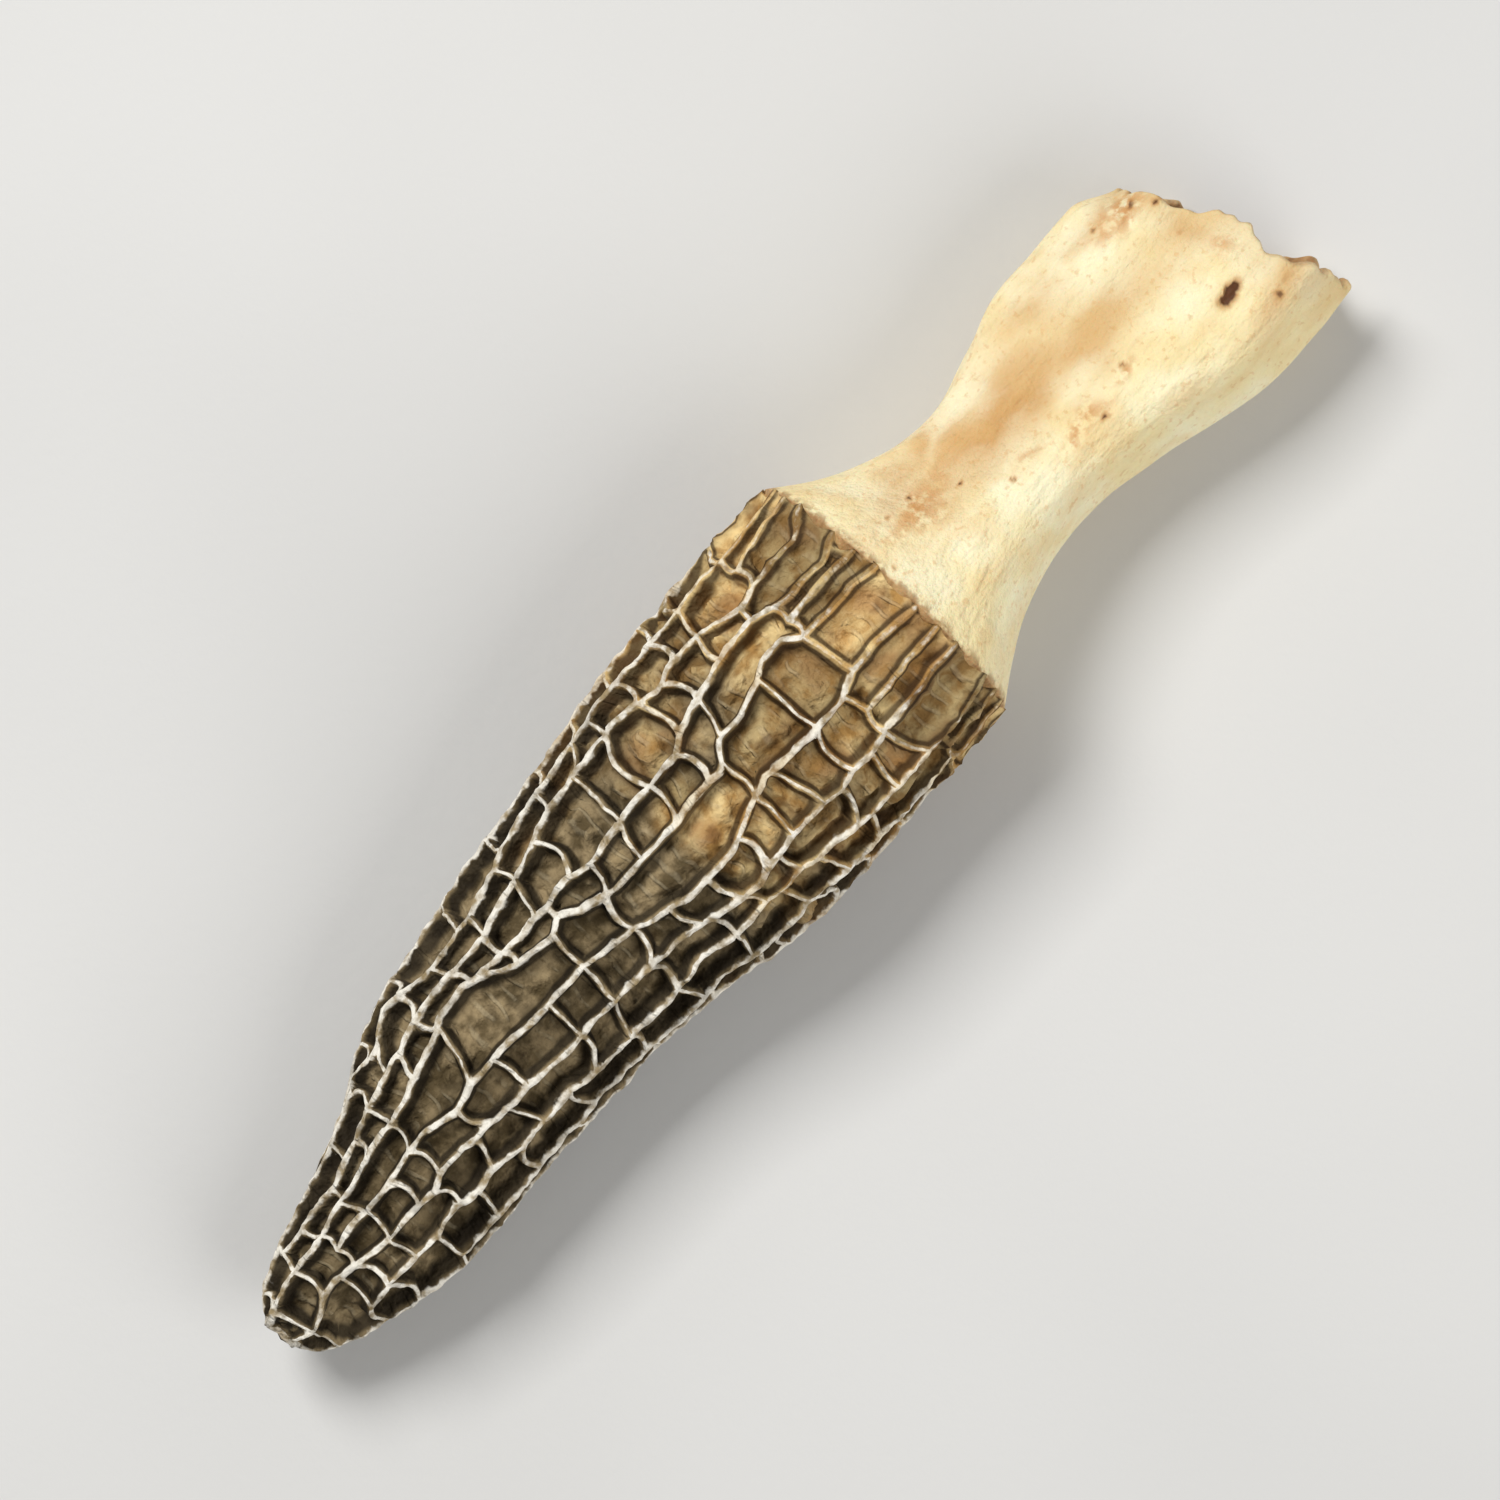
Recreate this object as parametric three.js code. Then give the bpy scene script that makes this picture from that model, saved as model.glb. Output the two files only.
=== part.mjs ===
// A dried morel lying on its side: a hollow cap with a raised net of ridges over sunken pits, and a hollow,
// pinched stem that flares to an open, torn foot.
// Millimetres. +X runs from the tip of the cap to the foot of the stem, and +Z is up.
// The origin is under the middle of the mushroom, on the surface that it lies on.
// Below, a place is given by its distance from the tip along X, and by its angle round the mushroom:
// angle 0 faces +Y and a quarter turn faces up.
import * as THREE from "three";

// Driving dimensions
const LENGTH = 87; // tip of the cap to the furthest point of the foot
const MIDDLE = { x: 43.81, y: -0.15 }; // the origin's distance from the tip, and its sideways place
const CAP_LENGTH = 55.2; // tip to the seam, where the ridges stop and the bare stem begins
const SEAM_GAP = 0.3; // clearance between the cap's end face and the stem's
const SEAM_BULGE = 1.0; // how much further the seam reaches towards the foot on top than at the sides
const SEAM_REACH = 6; // distance from the seam over which that bulge fades away
const CAP_WALL = 0.9; // flesh left under a full pit
const PIT_DEPTH = 1.5; // deepest pit, below the ridges round it
const RIDGE_WIDTH = 0.56; // across the top of a ridge
const RIDGE_FLANK = 0.28; // run of a ridge's side, from its top edge to the pit's floor
const CAP_HOLLOW_END = 7; // distance from the tip to the end of the hollow
const STEM_WALL = 1.0;
const LIP_WALL = 0.8; // thickness at the torn foot
const FOOT_SLANT = 1.9; // how much shorter the foot is on its +Y side, and longer on the other
const FOOT_CORNER = 1.3; // how much more is torn away at the +Y corner

// Outline of the cap over its ridges: distance from the tip, half the width, half the height, and the
// sideways place and height of the middle
const CAP_OUTLINE = [
  [0, 0, 0, -2.9, 5.2],
  [0.5, 1.7, 1.5, -2.9, 5.2],
  [2.2, 3.1, 2.8, -3.0, 5.2],
  [6, 4.3, 3.7, -3.1, 5.3],
  [11, 5.5, 4.7, -2.8, 5.5],
  [17, 6.8, 5.7, -1.3, 5.8],
  [24, 7.5, 6.2, -0.5, 5.8],
  [31, 8.1, 6.7, -0.2, 6.3],
  [39, 9.4, 7.4, -0.4, 7.0],
  [47, 9.6, 7.6, -0.1, 7.25],
  [CAP_LENGTH, 9.5, 7.4, 0, 7.5],
];

// The same for the stem, from the seam to the foot
const STEM_OUTLINE = [
  [CAP_LENGTH + SEAM_GAP, 9.4, 7.4, 0, 7.5],
  [58, 7.8, 6.4, 0, 7.3],
  [61, 6.4, 5.7, 0, 6.9],
  [64.5, 5.5, 5.2, 0, 6.4],
  [68, 5.4, 5.0, 0, 5.9],
  [72, 6.2, 4.9, 0.1, 5.4],
  [76, 7.2, 5.0, 0.1, 5.2],
  [80, 7.7, 5.0, -0.3, 5.05],
  [84, 7.7, 4.95, -0.3, 4.85],
  [LENGTH, 7.4, 4.9, -0.4, 4.65],
];

// The net of ridges
const NET_SEED = 11;
const RIDGES = 18; // lengthwise ridges at the widest part
const TIP_RIDGES = 6; // how many of them start at the ring round the tip
const TIP_RING = 1.3; // distance of that ring from the tip, along the skin
const PLEAT = 4.2; // length of the narrow pleats that end at the seam
const PLAIN_EVERY = 2; // one column out of this many has no pleat
const SCALLOP = 0.28; // how far the seam curves back between two ridge ends
const PIT_SCATTER = 0.3; // share by which a pit's length varies
const SLANT = 0.45; // how far a cross ridge runs askew at each end
const CROSS_BOW = 0.2; // how far a cross ridge bows, as a share of its length
const CROSS_SAG = 0.35; // how far a cross ridge dips at its middle
const CREST_SCATTER = 0.12; // how much lower one junction of the net may be than another
const WANDER = 0.22; // sideways scatter of a lengthwise ridge on the hidden side, as a share of a column
const JOIN_WITHIN = 0.8; // cross ridges that would meet a ridge closer than this share one junction
const RELAX = 0.16; // how far each junction moves to the middle of its neighbours
const FACET = 2.2; // longest straight stretch of a ridge

// Where the other lengthwise ridges start: number of the ridge, distance from the tip, and the neighbour that
// it branches from (-1 the one before it, 1 the one after), or 0 for the middle of a cross ridge
const STARTS = [
  [1, 7.5, -1],
  [2, 4, 0],
  [4, 22.4, -1],
  [5, 6.5, 0],
  [7, 5, 0],
  [8, 11, 0],
  [10, 9, 1],
  [11, 4.5, 0],
  [13, 12, 0],
  [14, 5.5, -1],
  [16, 14, 0],
  [17, 5, 0],
];

// Crests of the ridges on the side that faces up, as seen from above: number of the ridge, then distance
// from the tip and sideways place
const CRESTS = new Map([
  [1, [[13.5, 3.9], [16, 4.1], [17, 4.8], [18.3, 5.4], [20, 5.4], [21.5, 5.1], [24.8, 5.1], [28, 6],
    [31, 6.9], [39, 8.2], [47, 8.4], [55, 8.7]]],
  [2, [[9, 0.7], [12.4, 1.8], [15.8, 2.7], [18, 3.5], [20.2, 3.8], [25, 4], [30.4, 5.3], [33.1, 6.2],
    [39.3, 6.9], [41.5, 6.4], [46.4, 6.7], [49.5, 5.8], [55, 6.2]]],
  [3, [[5.3, -0.9], [8.7, -0.2], [11.8, 0.3], [15.8, 0.9], [18, 1.8], [20.2, 2.7], [22.4, 2.9], [26.9, 2.3],
    [30.4, 2.7], [32.4, 2.3], [38.4, 2.7], [40.7, 3], [42.9, 3.8], [47.3, 4.7], [49.3, 4.9], [51, 4.2],
    [55, 4.1]]],
  [4, [[22.4, 2.7], [25.6, 1.3], [28, 0.9], [29.3, 1.7], [30.4, 0.8], [32.7, 0.1], [37.3, 0], [41.6, 0.4],
    [42.9, 1.4], [44.9, 1.7], [46.7, 2.6], [48, 3.1], [49.6, 3], [50.6, 2.1], [55, 1.9]]],
  [5, [[9.6, -1.7], [12.4, -1.3], [14.7, -1.1], [16.9, -1.7], [21.3, -1.1], [24.7, -1.3], [27.8, -1.5],
    [31.8, -2.3], [34.9, -3.2], [39.1, -3.3], [41.6, -2.3], [43.3, -1.6], [46.9, -2.3], [49.1, -2.1],
    [51, -1.6], [55, -1.3]]],
  [6, [[5, -3], [8.2, -3.8], [11.3, -4], [15.8, -3.4], [18, -3.8], [23.6, -4.2], [30.4, -4.3], [33.6, -4.6],
    [36, -5.4], [38.4, -6], [40.4, -5.3], [43.3, -5.6], [47.3, -5.5], [50.2, -5], [55, -4.7]]],
  [7, [[5.1, -5.6], [9.6, -6], [12.4, -5.6], [16.9, -5.8], [20.2, -6.2], [22.4, -5.7], [24, -6.4],
    [30.4, -6.5], [32.9, -6.2], [35.3, -6.8], [40.4, -7.1], [43.1, -7.4], [45.1, -8], [50.4, -8],
    [55, -7.6]]],
  [8, [[30.4, -7.9], [33.1, -7.9], [35.8, -8.6], [41.1, -8.8], [43.6, -9.2], [48.2, -9.3], [55, -9]]],
]);

// Cross ridges on that side: the two ridges that they join, and their distances from the tip
const CROSSINGS = [
  [1, 2, [10.5, 13.2, 16.4, 19.3, 22.2, 25.6, 29, 33, 36.2, 38.8, 41.5, 44, 46.8, 49.8]],
  [2, 3, [6, 8.6, 11.4, 14, 17, 19.5, 22.7, 26, 28.8, 31.5, 35.4, 38.5, 41.2, 43.6, 46.4, 49.4]],
  [3, 5, [9.2, 13.4, 18.9]],
  [3, 4, [26, 29.3, 32.4, 35.2, 38, 40.9, 43.2, 48.1, 50.8]],
  [4, 5, [28.3, 31.9, 42.1, 47.2, 50.7]],
  [5, 6, [9, 11.4, 13.8, 17.5, 20.6, 25.3, 28.3, 31.1, 34.2, 37, 39.5, 41.7, 44, 47, 50.3]],
  [6, 7, [6.6, 9.4, 13, 16.2, 19.5, 24.3, 27.3, 30.6, 35.2, 38, 40.6, 45.3, 48.3, 50.6]],
  [7, 8, [14.2, 18, 22.6, 26.6, 31.5, 35.4, 39.4, 42.3, 45.5, 48.4]],
];

// Length of a pit everywhere else, at distances from the tip
const PIT_LENGTHS = [
  [0, 2],
  [8, 3.6],
  [18, 5.6],
  [30, 4.2],
  [38, 3.2],
  [56, 3.2],
];

const HOLLOW_RINGS = 11;
const STEM_SIDES = 44;
const STEM_RINGS = 20;

const TURN = 2 * Math.PI;
const clamp = (value, low, high) => Math.min(high, Math.max(low, value));
const mix = (from, to, share) => from + (to - from) * share;
const wrapped = (angle) => angle - TURN * Math.round(angle / TURN);

function smooth(low, high, value) {
  const share = clamp((value - low) / (high - low), 0, 1);
  return share * share * (3 - 2 * share);
}

// A repeatable stream of numbers from 0 to 1
function seeded(seed) {
  let state = seed;
  return () => {
    state = (state + 0x6d2b79f5) | 0;
    let mixed = Math.imul(state ^ (state >>> 15), 1 | state);
    mixed = (mixed + Math.imul(mixed ^ (mixed >>> 7), 61 | mixed)) ^ mixed;
    return ((mixed ^ (mixed >>> 14)) >>> 0) / 4294967296;
  };
}

// Straight-line interpolation through [place, value] pairs
function between(pairs, at) {
  const past = pairs.findIndex(([place]) => place > at);
  const i = past < 0 ? pairs.length - 1 : Math.max(past, 1);
  const [[x0, y0], [x1, y1]] = [pairs[i - 1], pairs[i]];
  return mix(y0, y1, clamp((at - x0) / (x1 - x0), 0, 1));
}

// A smooth curve through an outline's rows; at runs from 0 at the first row to 1 at the last
function section(outline, at) {
  const last = outline.length - 1;
  const place = clamp(at, 0, 1) * last;
  const i = Math.min(Math.floor(place), last - 1);
  const f = place - i;
  const [before, from, to, after] = [i - 1, i, i + 1, i + 2].map((k) => outline[clamp(k, 0, last)]);
  return from.map((value, k) => {
    const slope = (to[k] - before[k]) / 2;
    const slopeEnd = (after[k] - value) / 2;
    const rise = value - to[k];
    const bend = (2 * rise + slope + slopeEnd) * f - 3 * rise - 2 * slope - slopeEnd;
    return bend * f * f + slope * f + value;
  });
}

// Where along an outline a distance from the tip lies, from 0 to 1
function placeOf(outline, x) {
  let [low, high] = [0, 1];
  for (let n = 0; n < 40; n++) {
    const middle = (low + high) / 2;
    if (section(outline, middle)[0] < x) low = middle;
    else high = middle;
  }
  return (low + high) / 2;
}

// Pairs of a distance along the cap's skin from the tip and the place along its outline
const SKIN_STEPS = 400;
const skinPlaces = [[0, 0]];
for (let i = 1; i <= SKIN_STEPS; i++) {
  const [x0, width0] = section(CAP_OUTLINE, (i - 1) / SKIN_STEPS);
  const [x1, width1] = section(CAP_OUTLINE, i / SKIN_STEPS);
  skinPlaces.push([skinPlaces[i - 1][0] + Math.hypot(x1 - x0, width1 - width0), i / SKIN_STEPS]);
}
const SKIN_LENGTH = skinPlaces[SKIN_STEPS][0];
const skinDistances = skinPlaces.map(([length, place]) => [place, length]);
const placeAlong = (s) => between(skinPlaces, s);
const skinDistance = (x) => between(skinDistances, placeOf(CAP_OUTLINE, x));

// Mean radius of the cap at a distance along the skin
function girth(s) {
  const [, width, height] = section(CAP_OUTLINE, placeAlong(s));
  return Math.sqrt((width * width + height * height) / 2);
}

// How much further along X a point of the upper side lies, at a distance from the seam
function seamShift(angle, away) {
  return SEAM_BULGE * Math.max(0, Math.sin(angle)) * (1 - smooth(0, SEAM_REACH, away));
}

function skinPoint(at, angle) {
  const [x, width, height, shift, lift] = section(CAP_OUTLINE, at);
  const y = shift + width * Math.cos(angle);
  return new THREE.Vector3(x + seamShift(angle, CAP_LENGTH - x), y, lift + height * Math.sin(angle));
}

// A point on the cap, sunk straight in from the skin
function sunkPoint(s, angle, depth) {
  const step = 1e-3;
  const at = placeAlong(s);
  const along = skinPoint(at + step, angle).sub(skinPoint(at - step, angle));
  const round = skinPoint(at, angle + step).sub(skinPoint(at, angle - step));
  return skinPoint(at, angle).addScaledVector(round.cross(along).normalize(), -depth);
}

// The angle of a lengthwise ridge, as a function of the distance along the skin
function ridgeLine(number, random) {
  const column = TURN / RIDGES;
  const even = column * number;
  const sway = mix(-1, 1, random());
  const [slow, quick] = [TURN * random(), TURN * random()];
  const crest = CRESTS.get(number);
  return (s) => {
    if (!crest) {
      const wave = sway + Math.sin(slow + s / 3.6) + 0.5 * Math.sin(quick + s / 1.4);
      return even + column * WANDER * wave * smooth(0, 8, SKIN_LENGTH - s);
    }
    const [x, width, , shift] = section(CAP_OUTLINE, placeAlong(s));
    const seen = Math.acos(clamp((between(crest, x) - shift) / width, -0.99, 0.99));
    const share = smooth(crest[0][0] - 4, crest[0][0], x) * smooth(0, 1.5, SKIN_LENGTH - s);
    return mix(even, seen, share);
  };
}

// The net: junctions {s, angle, sink}, with s the distance along the skin, and the edges that join them
function ridgeNet() {
  const random = seeded(NET_SEED);
  const scatter = (size) => mix(-size, size, random());
  const junctions = [];
  const edges = [];
  const ridges = Array.from({ length: RIDGES }, (_, k) => ({ stops: [], line: ridgeLine(k, random) }));

  const junction = (s, angle) => {
    const sink = s < SKIN_LENGTH ? CREST_SCATTER * random() : 0;
    return junctions.push({ s, angle, sink }) - 1;
  };
  const joinAcross = (a, b) => edges.push({ a, b, across: true, bow: scatter(CROSS_BOW) });
  const joinAlong = (a, b, line) => edges.push({ a, b, across: false, bow: 0, line });
  // The junction on a lengthwise ridge at s, or the one that it already has close by
  const stop = (number, s) => {
    const { stops, line } = ridges[number % RIDGES];
    const near = stops.find((i) => Math.abs(junctions[i].s - s) < JOIN_WITHIN);
    if (near !== undefined) return near;
    const made = junction(s, line(s));
    stops.push(made);
    return made;
  };
  const middleOf = (a, b) => {
    const [from, to] = [junctions[a], junctions[b]];
    return junction((from.s + to.s) / 2, from.angle + wrapped(to.angle - from.angle) / 2);
  };
  const crossRidge = (left, right, s) => {
    const slant = scatter(SLANT);
    joinAcross(stop(left, s + slant), stop(right, s - slant));
  };
  // A cross ridge with a junction at its middle, for another ridge to start from
  const splitRidge = (left, right, s) => {
    const [a, b] = [stop(left, s + scatter(SLANT)), stop(right, s + scatter(SLANT))];
    const middle = middleOf(a, b);
    joinAcross(a, middle);
    joinAcross(middle, b);
    return middle;
  };
  // Cross ridges in the column between two ridges, from one distance to another
  const ladder = (left, right, from, to) => {
    const seen = CROSSINGS.find(([one, other]) => one === left && other === right);
    if (seen) {
      const places = seen[2].map(skinDistance).filter((s) => s > from + 1 && s < to - 0.5);
      places.forEach((s) => crossRidge(left, right, s));
      return;
    }
    let s = from + between(PIT_LENGTHS, from) * mix(0.3, 1.3, random());
    while (s < to - 0.5 * between(PIT_LENGTHS, s)) {
      crossRidge(left, right, s);
      s += between(PIT_LENGTHS, s) * (1 + scatter(PIT_SCATTER));
    }
  };
  // A short ridge that halves a column just before the seam
  const pleat = (left, right) => {
    const start = splitRidge(left, right, SKIN_LENGTH - PLEAT * (1 + scatter(0.3)));
    const [a, b] = [rim[left], rim[right % RIDGES]];
    const end = middleOf(a, b);
    joinAlong(start, end);
    joinAcross(a, end);
    joinAcross(end, b);
  };
  // A column from a distance to the seam, divided in two wherever another ridge starts
  const column = (left, right, from) => {
    const inner = STARTS.filter(([number]) => number > left && number < right);
    if (!inner.length && left % PLAIN_EVERY) {
      ladder(left, right, from, SKIN_LENGTH - 1.6 * PLEAT);
      pleat(left, right);
      return;
    }
    if (!inner.length) {
      ladder(left, right, from, SKIN_LENGTH - 0.6 * PLEAT);
      joinAcross(rim[left], rim[right % RIDGES]);
      return;
    }
    const [number, x, side] = inner.reduce((first, other) => (other[1] < first[1] ? other : first));
    const start = skinDistance(x);
    ladder(left, right, from, start);
    const parent = side < 0 ? left : right;
    ridges[number].stops.push(side ? stop(parent, start) : splitRidge(left, right, start));
    column(left, number, start);
    column(number, right, start);
  };

  const rim = ridges.map((_, k) => stop(k, SKIN_LENGTH));
  const step = RIDGES / TIP_RIDGES;
  const tipRing = Array.from({ length: TIP_RIDGES }, (_, n) => stop(n * step, TIP_RING));
  tipRing.forEach((i, n) => joinAcross(i, tipRing[(n + 1) % TIP_RIDGES]));
  for (let k = 0; k < RIDGES; k += step) column(k, k + step, TIP_RING);
  for (const { stops, line } of ridges) {
    stops.sort((i, j) => junctions[i].s - junctions[j].s);
    for (let n = 1; n < stops.length; n++) joinAlong(stops[n - 1], stops[n], line);
  }
  relax(junctions, edges, (i) => junctions[i].s >= SKIN_LENGTH || tipRing.includes(i));
  return { junctions, edges };
}

// Draws each junction towards the middle of its neighbours, as in a foam
function relax(junctions, edges, fixed) {
  const pull = junctions.map(() => ({ s: 0, angle: 0, n: 0 }));
  for (const { a, b } of edges) {
    const rise = junctions[b].s - junctions[a].s;
    const turn = wrapped(junctions[b].angle - junctions[a].angle);
    for (const [i, sign] of [[a, 1], [b, -1]]) {
      pull[i].s += sign * rise;
      pull[i].angle += sign * turn;
      pull[i].n++;
    }
  }
  junctions.forEach((place, i) => {
    if (fixed(i)) return;
    place.s += (RELAX * pull[i].s) / pull[i].n;
    place.angle += (RELAX * pull[i].angle) / pull[i].n;
  });
}

// The points along an edge, both junctions included
function edgePoints(junctions, { a, b, across, bow, line }, name) {
  const [from, to] = [junctions[a], junctions[b]];
  const rise = to.s - from.s;
  const turn = wrapped(to.angle - from.angle);
  const radius = girth((from.s + to.s) / 2);
  const atSeam = from.s >= SKIN_LENGTH && to.s >= SKIN_LENGTH;
  const count = atSeam ? 2 : Math.max(1, Math.round(Math.hypot(rise, turn * radius) / FACET));
  const off = line && [from, to].map((end) => wrapped(end.angle - line(end.s)));
  return Array.from({ length: count + 1 }, (_, n) => {
    const f = n / count;
    const arch = 4 * f * (1 - f);
    const s = from.s + f * rise - arch * (atSeam ? SCALLOP : bow * turn * radius);
    const plain = from.angle + f * turn + (atSeam ? 0 : (arch * bow * rise) / radius);
    const sag = across && !atSeam ? arch * CROSS_SAG : 0;
    return {
      s,
      angle: line ? line(s) + mix(off[0], off[1], f) : plain,
      sink: mix(from.sink, to.sink, f) + sag,
      key: n === 0 ? `junction ${a}` : n === count ? `junction ${b}` : `${name} ${n}`,
    };
  });
}

// The loops of points between the ridges: one for each pit, and the two rings at the tip and at the seam
function netLoops({ junctions, edges }) {
  const ways = junctions.map(() => []);
  edges.forEach((edge, i) => {
    const points = edgePoints(junctions, edge, `edge ${i}`);
    for (const [from, to, list] of [[edge.a, edge.b, points], [edge.b, edge.a, [...points].reverse()]]) {
      const turn = wrapped(list[1].angle - list[0].angle) * girth(list[0].s);
      ways[from].push({ edge, to, points: list, heading: Math.atan2(turn, list[1].s - list[0].s) });
    }
  });
  ways.forEach((list) => list.sort((one, other) => one.heading - other.heading));
  const loops = { pits: [], rings: [] };
  for (const first of ways.flat()) {
    if (first.used) continue;
    const loop = [];
    let way = first;
    let round = 0;
    do {
      way.used = true;
      loop.push(...way.points.slice(0, -1));
      round += wrapped(way.points.at(-1).angle - way.points[0].angle);
      const next = ways[way.to];
      const back = next.findIndex((other) => other.edge === way.edge);
      way = next[(back + next.length - 1) % next.length];
    } while (way !== first);
    (Math.abs(round) > 1 ? loops.rings : loops.pits).push(loop);
  }
  return loops;
}

const loopSides = (loop) => loop.map((point, i) => [point, loop[(i + 1) % loop.length]]);
const turnOf = (one, other) => one.p * other.q - other.p * one.q;
const areaOf = (loop) => loopSides(loop).reduce((sum, [one, other]) => sum + turnOf(one, other) / 2, 0);
const lengthOf = (loop) =>
  loopSides(loop).reduce((sum, [one, other]) => sum + Math.hypot(other.p - one.p, other.q - one.q), 0);

// Middle of a loop by area
function middleOfLoop(loop) {
  const whole = 6 * areaOf(loop);
  const sum = { p: 0, q: 0 };
  for (const [one, other] of loopSides(loop)) {
    sum.p += ((one.p + other.p) * turnOf(one, other)) / whole;
    sum.q += ((one.q + other.q) * turnOf(one, other)) / whole;
  }
  return sum;
}

// Distance from a point of a loop, along a way, to the nearest side that doesn't touch the point
function roomFrom(loop, point, way) {
  let nearest = Infinity;
  for (const [one, other] of loopSides(loop)) {
    if (one === point || other === point) continue;
    const side = { p: other.p - one.p, q: other.q - one.q };
    const off = { p: one.p - point.p, q: one.q - point.q };
    const cross = turnOf(way, side);
    const reach = turnOf(off, side) / cross;
    const along = turnOf(off, way) / cross;
    if (reach > 0 && along >= 0 && along <= 1) nearest = Math.min(nearest, reach);
  }
  return nearest;
}

// Draws a loop in by a distance, or by less where it is too narrow
function inset(loop, distance) {
  return loop.map((point, i) => {
    const before = loop[(i + loop.length - 1) % loop.length];
    const after = loop[(i + 1) % loop.length];
    const into = new THREE.Vector2(point.p - before.p, point.q - before.q).normalize();
    const out = new THREE.Vector2(after.p - point.p, after.q - point.q).normalize();
    const inward = new THREE.Vector2(-into.y - out.y, into.x + out.x).normalize();
    const mitre = Math.max(0.62, inward.dot(new THREE.Vector2(-into.y, into.x)));
    const way = { p: inward.x, q: inward.y };
    const move = Math.min(distance / mitre, 0.4 * roomFrom(loop, point, way));
    return { ...point, p: point.p + way.p * move, q: point.q + way.q * move };
  });
}

// A growing mesh, whose vertices are found again by name where two pits share them
class Skin {
  constructor() {
    this.positions = [];
    this.faces = [];
    this.named = new Map();
  }
  // Adds a point, pressed flat where it would lie under the surface that the mushroom rests on
  vertex(point, name = "", lowest = 0) {
    if (this.named.has(name)) return this.named.get(name);
    const i = this.positions.length / 3;
    this.positions.push(point.x - MIDDLE.x, point.y - MIDDLE.y, Math.max(point.z, lowest));
    if (name) this.named.set(name, i);
    return i;
  }
  // Joins two rings of the same count
  strip(ring, inner) {
    ring.forEach((a, i) => {
      const next = (i + 1) % ring.length;
      this.faces.push(a, inner[i], ring[next], ring[next], inner[i], inner[next]);
    });
  }
  fan(ring, middle) {
    ring.forEach((a, i) => this.faces.push(a, middle, ring[(i + 1) % ring.length]));
  }
  geometry() {
    const made = new THREE.BufferGeometry();
    made.setAttribute("position", new THREE.Float32BufferAttribute(this.positions, 3));
    made.setIndex(this.faces);
    made.computeVertexNormals();
    return made;
  }
}

// One pit: its half of the ridges round it, their sides and the floor
function addPit(skin, loop) {
  const radius = girth(loop.reduce((sum, { s }) => sum + s, 0) / loop.length);
  const start = loop[0].angle;
  const across = (angle) => (start + wrapped(angle - start)) * radius;
  const crest = loop.map((point) => ({ ...point, p: point.s, q: across(point.angle) }));
  const size = (2 * areaOf(crest)) / lengthOf(crest);
  const depth = clamp(0.95 * size, 0.45, PIT_DEPTH);
  const shoulder = inset(crest, RIDGE_WIDTH / 2);
  const foot = inset(shoulder, RIDGE_FLANK);
  const place = ({ p, q }, sink) => sunkPoint(p, q / radius, sink);
  const rings = [
    crest.map((point) => skin.vertex(place(point, point.sink), point.key)),
    shoulder.map((point) => skin.vertex(place(point, point.sink + 0.05))),
    foot.map((point) => skin.vertex(place(point, point.sink + 0.85 * depth))),
  ];
  skin.strip(rings[0], rings[1]);
  skin.strip(rings[1], rings[2]);
  skin.fan(rings[2], skin.vertex(place(middleOfLoop(foot), depth)));
}

// The small pit at the very tip
function addTipPit(skin, loop) {
  const steps = [[0, 0], [0.3, 0.06], [0.75, 0.6]];
  const rings = steps.map(([inward, sink]) =>
    loop.map(({ angle, key }) => skin.vertex(sunkPoint(TIP_RING - inward, angle, sink), inward ? "" : key)),
  );
  skin.strip(rings[0], rings[1]);
  skin.strip(rings[1], rings[2]);
  const [x, , , shift, lift] = CAP_OUTLINE[0];
  skin.fan(rings[2], skin.vertex(new THREE.Vector3(x + 0.7, shift, lift)));
}

// The end face at the seam, and the hollow behind it up to its rounded end near the tip
function addCapHollow(skin, loop) {
  const thickness = PIT_DEPTH + CAP_WALL;
  let outer = loop.map(({ key }) => skin.vertex(null, key));
  for (let n = 0; n <= HOLLOW_RINGS; n++) {
    const share = n / HOLLOW_RINGS;
    const x = mix(CAP_LENGTH, CAP_HOLLOW_END + 1, share);
    const [, width, height, shift, lift] = section(CAP_OUTLINE, placeOf(CAP_OUTLINE, x));
    const round = Math.sqrt(1 - 0.75 * Math.pow(share, 6));
    const ring = loop.map(({ angle }) => {
      const y = shift + (width - thickness) * round * Math.cos(angle);
      const z = lift + (height - thickness) * round * Math.sin(angle);
      return skin.vertex(new THREE.Vector3(x + seamShift(angle, CAP_LENGTH - x), y, z));
    });
    skin.strip(outer, ring);
    outer = ring;
  }
  const [x, , , shift, lift] = section(CAP_OUTLINE, placeOf(CAP_OUTLINE, CAP_HOLLOW_END));
  skin.fan(outer, skin.vertex(new THREE.Vector3(x, shift, lift)));
}

function capGeometry() {
  const skin = new Skin();
  const { pits, rings } = netLoops(ridgeNet());
  pits.forEach((loop) => addPit(skin, loop));
  rings.forEach((loop) => (loop[0].s < SKIN_LENGTH / 2 ? addTipPit(skin, loop) : addCapHollow(skin, loop)));
  return skin.geometry();
}

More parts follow.
